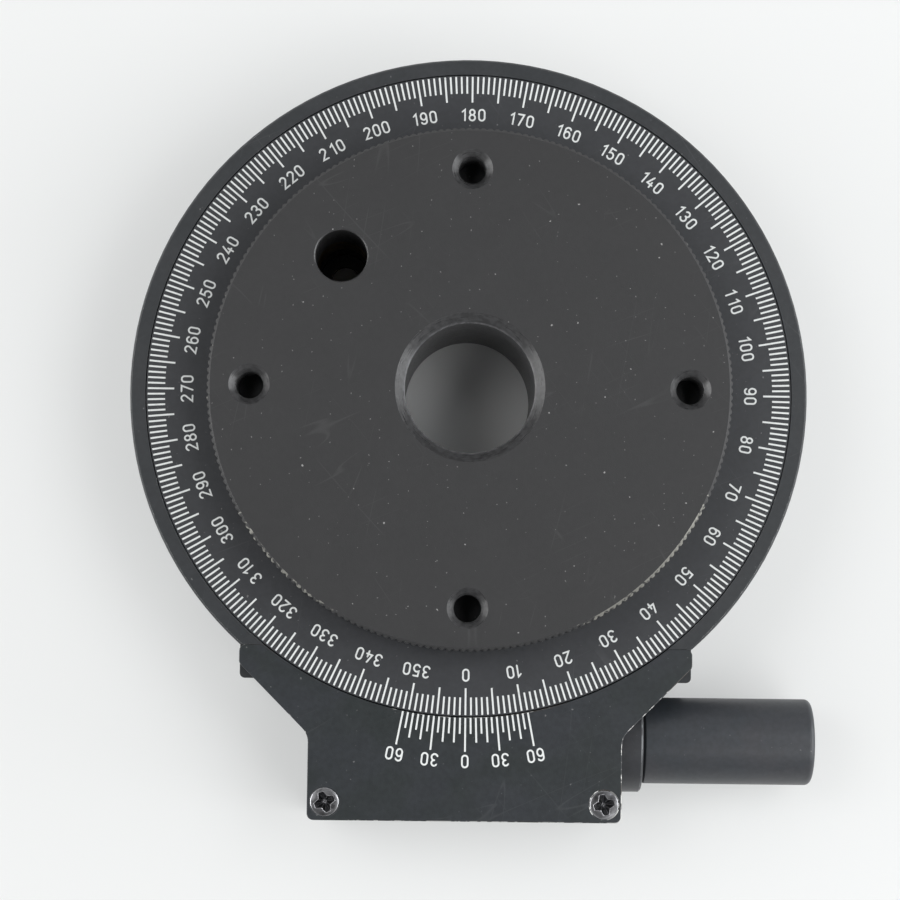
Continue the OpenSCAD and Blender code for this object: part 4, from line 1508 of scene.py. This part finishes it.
@dataclass
class MachinedPiece:
    """Machined piece of the body that keeps its CAD shape and gets rounded edges."""

    node: str
    name: str
    finish: Anodised
    edge: float

    def build(self) -> None:
        """Makes the piece in place of its CAD node."""
        piece = copied_node(self.node, self.name)
        dress(piece, self.finish)
        soften(piece, self.edge, 40)
        smooth(piece)
        hand_over(piece, BASE, "black_anodised", self.node)


def copied_node(node: str, name: str) -> Object:
    """Copies a CAD node's mesh with its triangles joined into plain faces.

    Args:
        node: name of the CAD node.
        name: name of the new object.

    Returns:
        The copy.
    """
    bm = bmesh.new()
    bm.from_mesh(frame["nodes"][node].data)
    bmesh.ops.remove_doubles(bm, verts=bm.verts, dist=1e-6)
    bmesh.ops.dissolve_limit(bm, angle_limit=math.radians(0.5), verts=bm.verts, edges=bm.edges)
    return new_object(name, bm)


# ---------- worm drive ----------


@dataclass
class Knob:
    """Plain round knob on the worm's shaft."""

    start_x: float = 28.0
    end_x: float = 54.7
    radius: float = 6.75
    round_r: float = 1.0
    bore_r: float = 3.02
    bore_end: float = 51.2
    edge: float = 0.3
    screw_x: float = 34.1
    screw_r: float = 1.5
    screw_reach: tuple[float, float] = (2.6, 9.0)

    def build(self) -> None:
        """Makes the knob in place of its CAD node."""
        bm = bmesh.new()
        r, e = self.radius, self.round_r
        rounding = [
            (r - e + e * math.cos(a), self.end_x - e + e * math.sin(a))
            for a in (math.radians(90 * k / 8) for k in range(9))
        ]
        lathe(bm, [
            (self.bore_r, self.start_x), (r - self.edge, self.start_x), (r, self.start_x + self.edge),
            *rounding, (0, self.end_x), (0, self.bore_end), (self.bore_r, self.bore_end),
        ], even_angles(160), along_worm())
        knob = new_object("knob", bm)
        dress(knob, KNOB_BLACK)
        down = at(self.screw_x, WORM_Y, WORM_Z) @ Matrix.Rotation(math.pi, 4, "X")
        cut(knob, drill("knob_screw_hole", self.screw_r, *self.screw_reach, down, columns=32))
        smooth(knob)
        hand_over(knob, DRIVE, "black_knob", "drive_knob")


def along_worm() -> Matrix:
    """Returns the place that turns Z into the worm's axis, in metres."""
    return at(0, WORM_Y, WORM_Z) @ Matrix.Rotation(math.pi / 2, 4, "Y")


# ---------- pieces kept from the frame ----------


@dataclass
class KeptPieces:
    """CAD nodes whose shape is right and that only get a finish."""

    nodes: dict[Anodised | Metal, tuple[str, ...]] = field(default_factory=lambda: {
        BODY_BLACK: ("bearing_retaining_ring", "worm_end_plug", "hub_lock_ring"),
        BEARING_STEEL: (
            "lower_outer_race", "upper_outer_race", "lower_inner_race", "upper_inner_race", "preload_washer",
            "worm", "worm_shaft",
        ),
        BALL_STEEL: ("lower_bearing_balls", "upper_bearing_balls"),
        SCREW_STEEL: (
            "worm_end_carrier", "backlash_set_screws", "dial_ring_screws", "worm_wheel_screws",
            "lock_ring_set_screw", "knob_set_screw",
        ),
        BRONZE: (
            "worm_bush_right", "worm_bush_left", "worm_wheel", "thrust_washers", "lower_bearing_cage",
            "upper_bearing_cage",
        ),
    })

    def dress(self) -> None:
        """Gives each node its finish."""
        for finish, nodes in self.nodes.items():
            for node in nodes:
                for place in frame["nodes"][node].material_slots:
                    place.material = made(finish, Surface.FACE)
                LOG.info("%s: kept, %s", node, finish.name)


GRADUATION = GraduationTool()
RING_OF_COPIES = RingTool()
COPIES_AT_PLACES = PlacesTool()


def main() -> None:
    """Builds the studio and every piece."""
    logging.basicConfig(level=logging.INFO, format="%(name)s: %(message)s")
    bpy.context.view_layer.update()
    scene = bpy.context.scene
    scene.view_settings.view_transform = "Standard"
    Studio().build()
    KeptPieces().dress()
    MachinedPiece("base_housing", "housing", BODY_BLACK, edge=0.12).build()
    MachinedPiece("worm_flange", "flange", FLANGE_BLACK, edge=0.1).build()
    VernierPlate().build()
    TableTop().build()
    Dial().build()
    Knob().build()


if __name__ == "__main__":
    main()
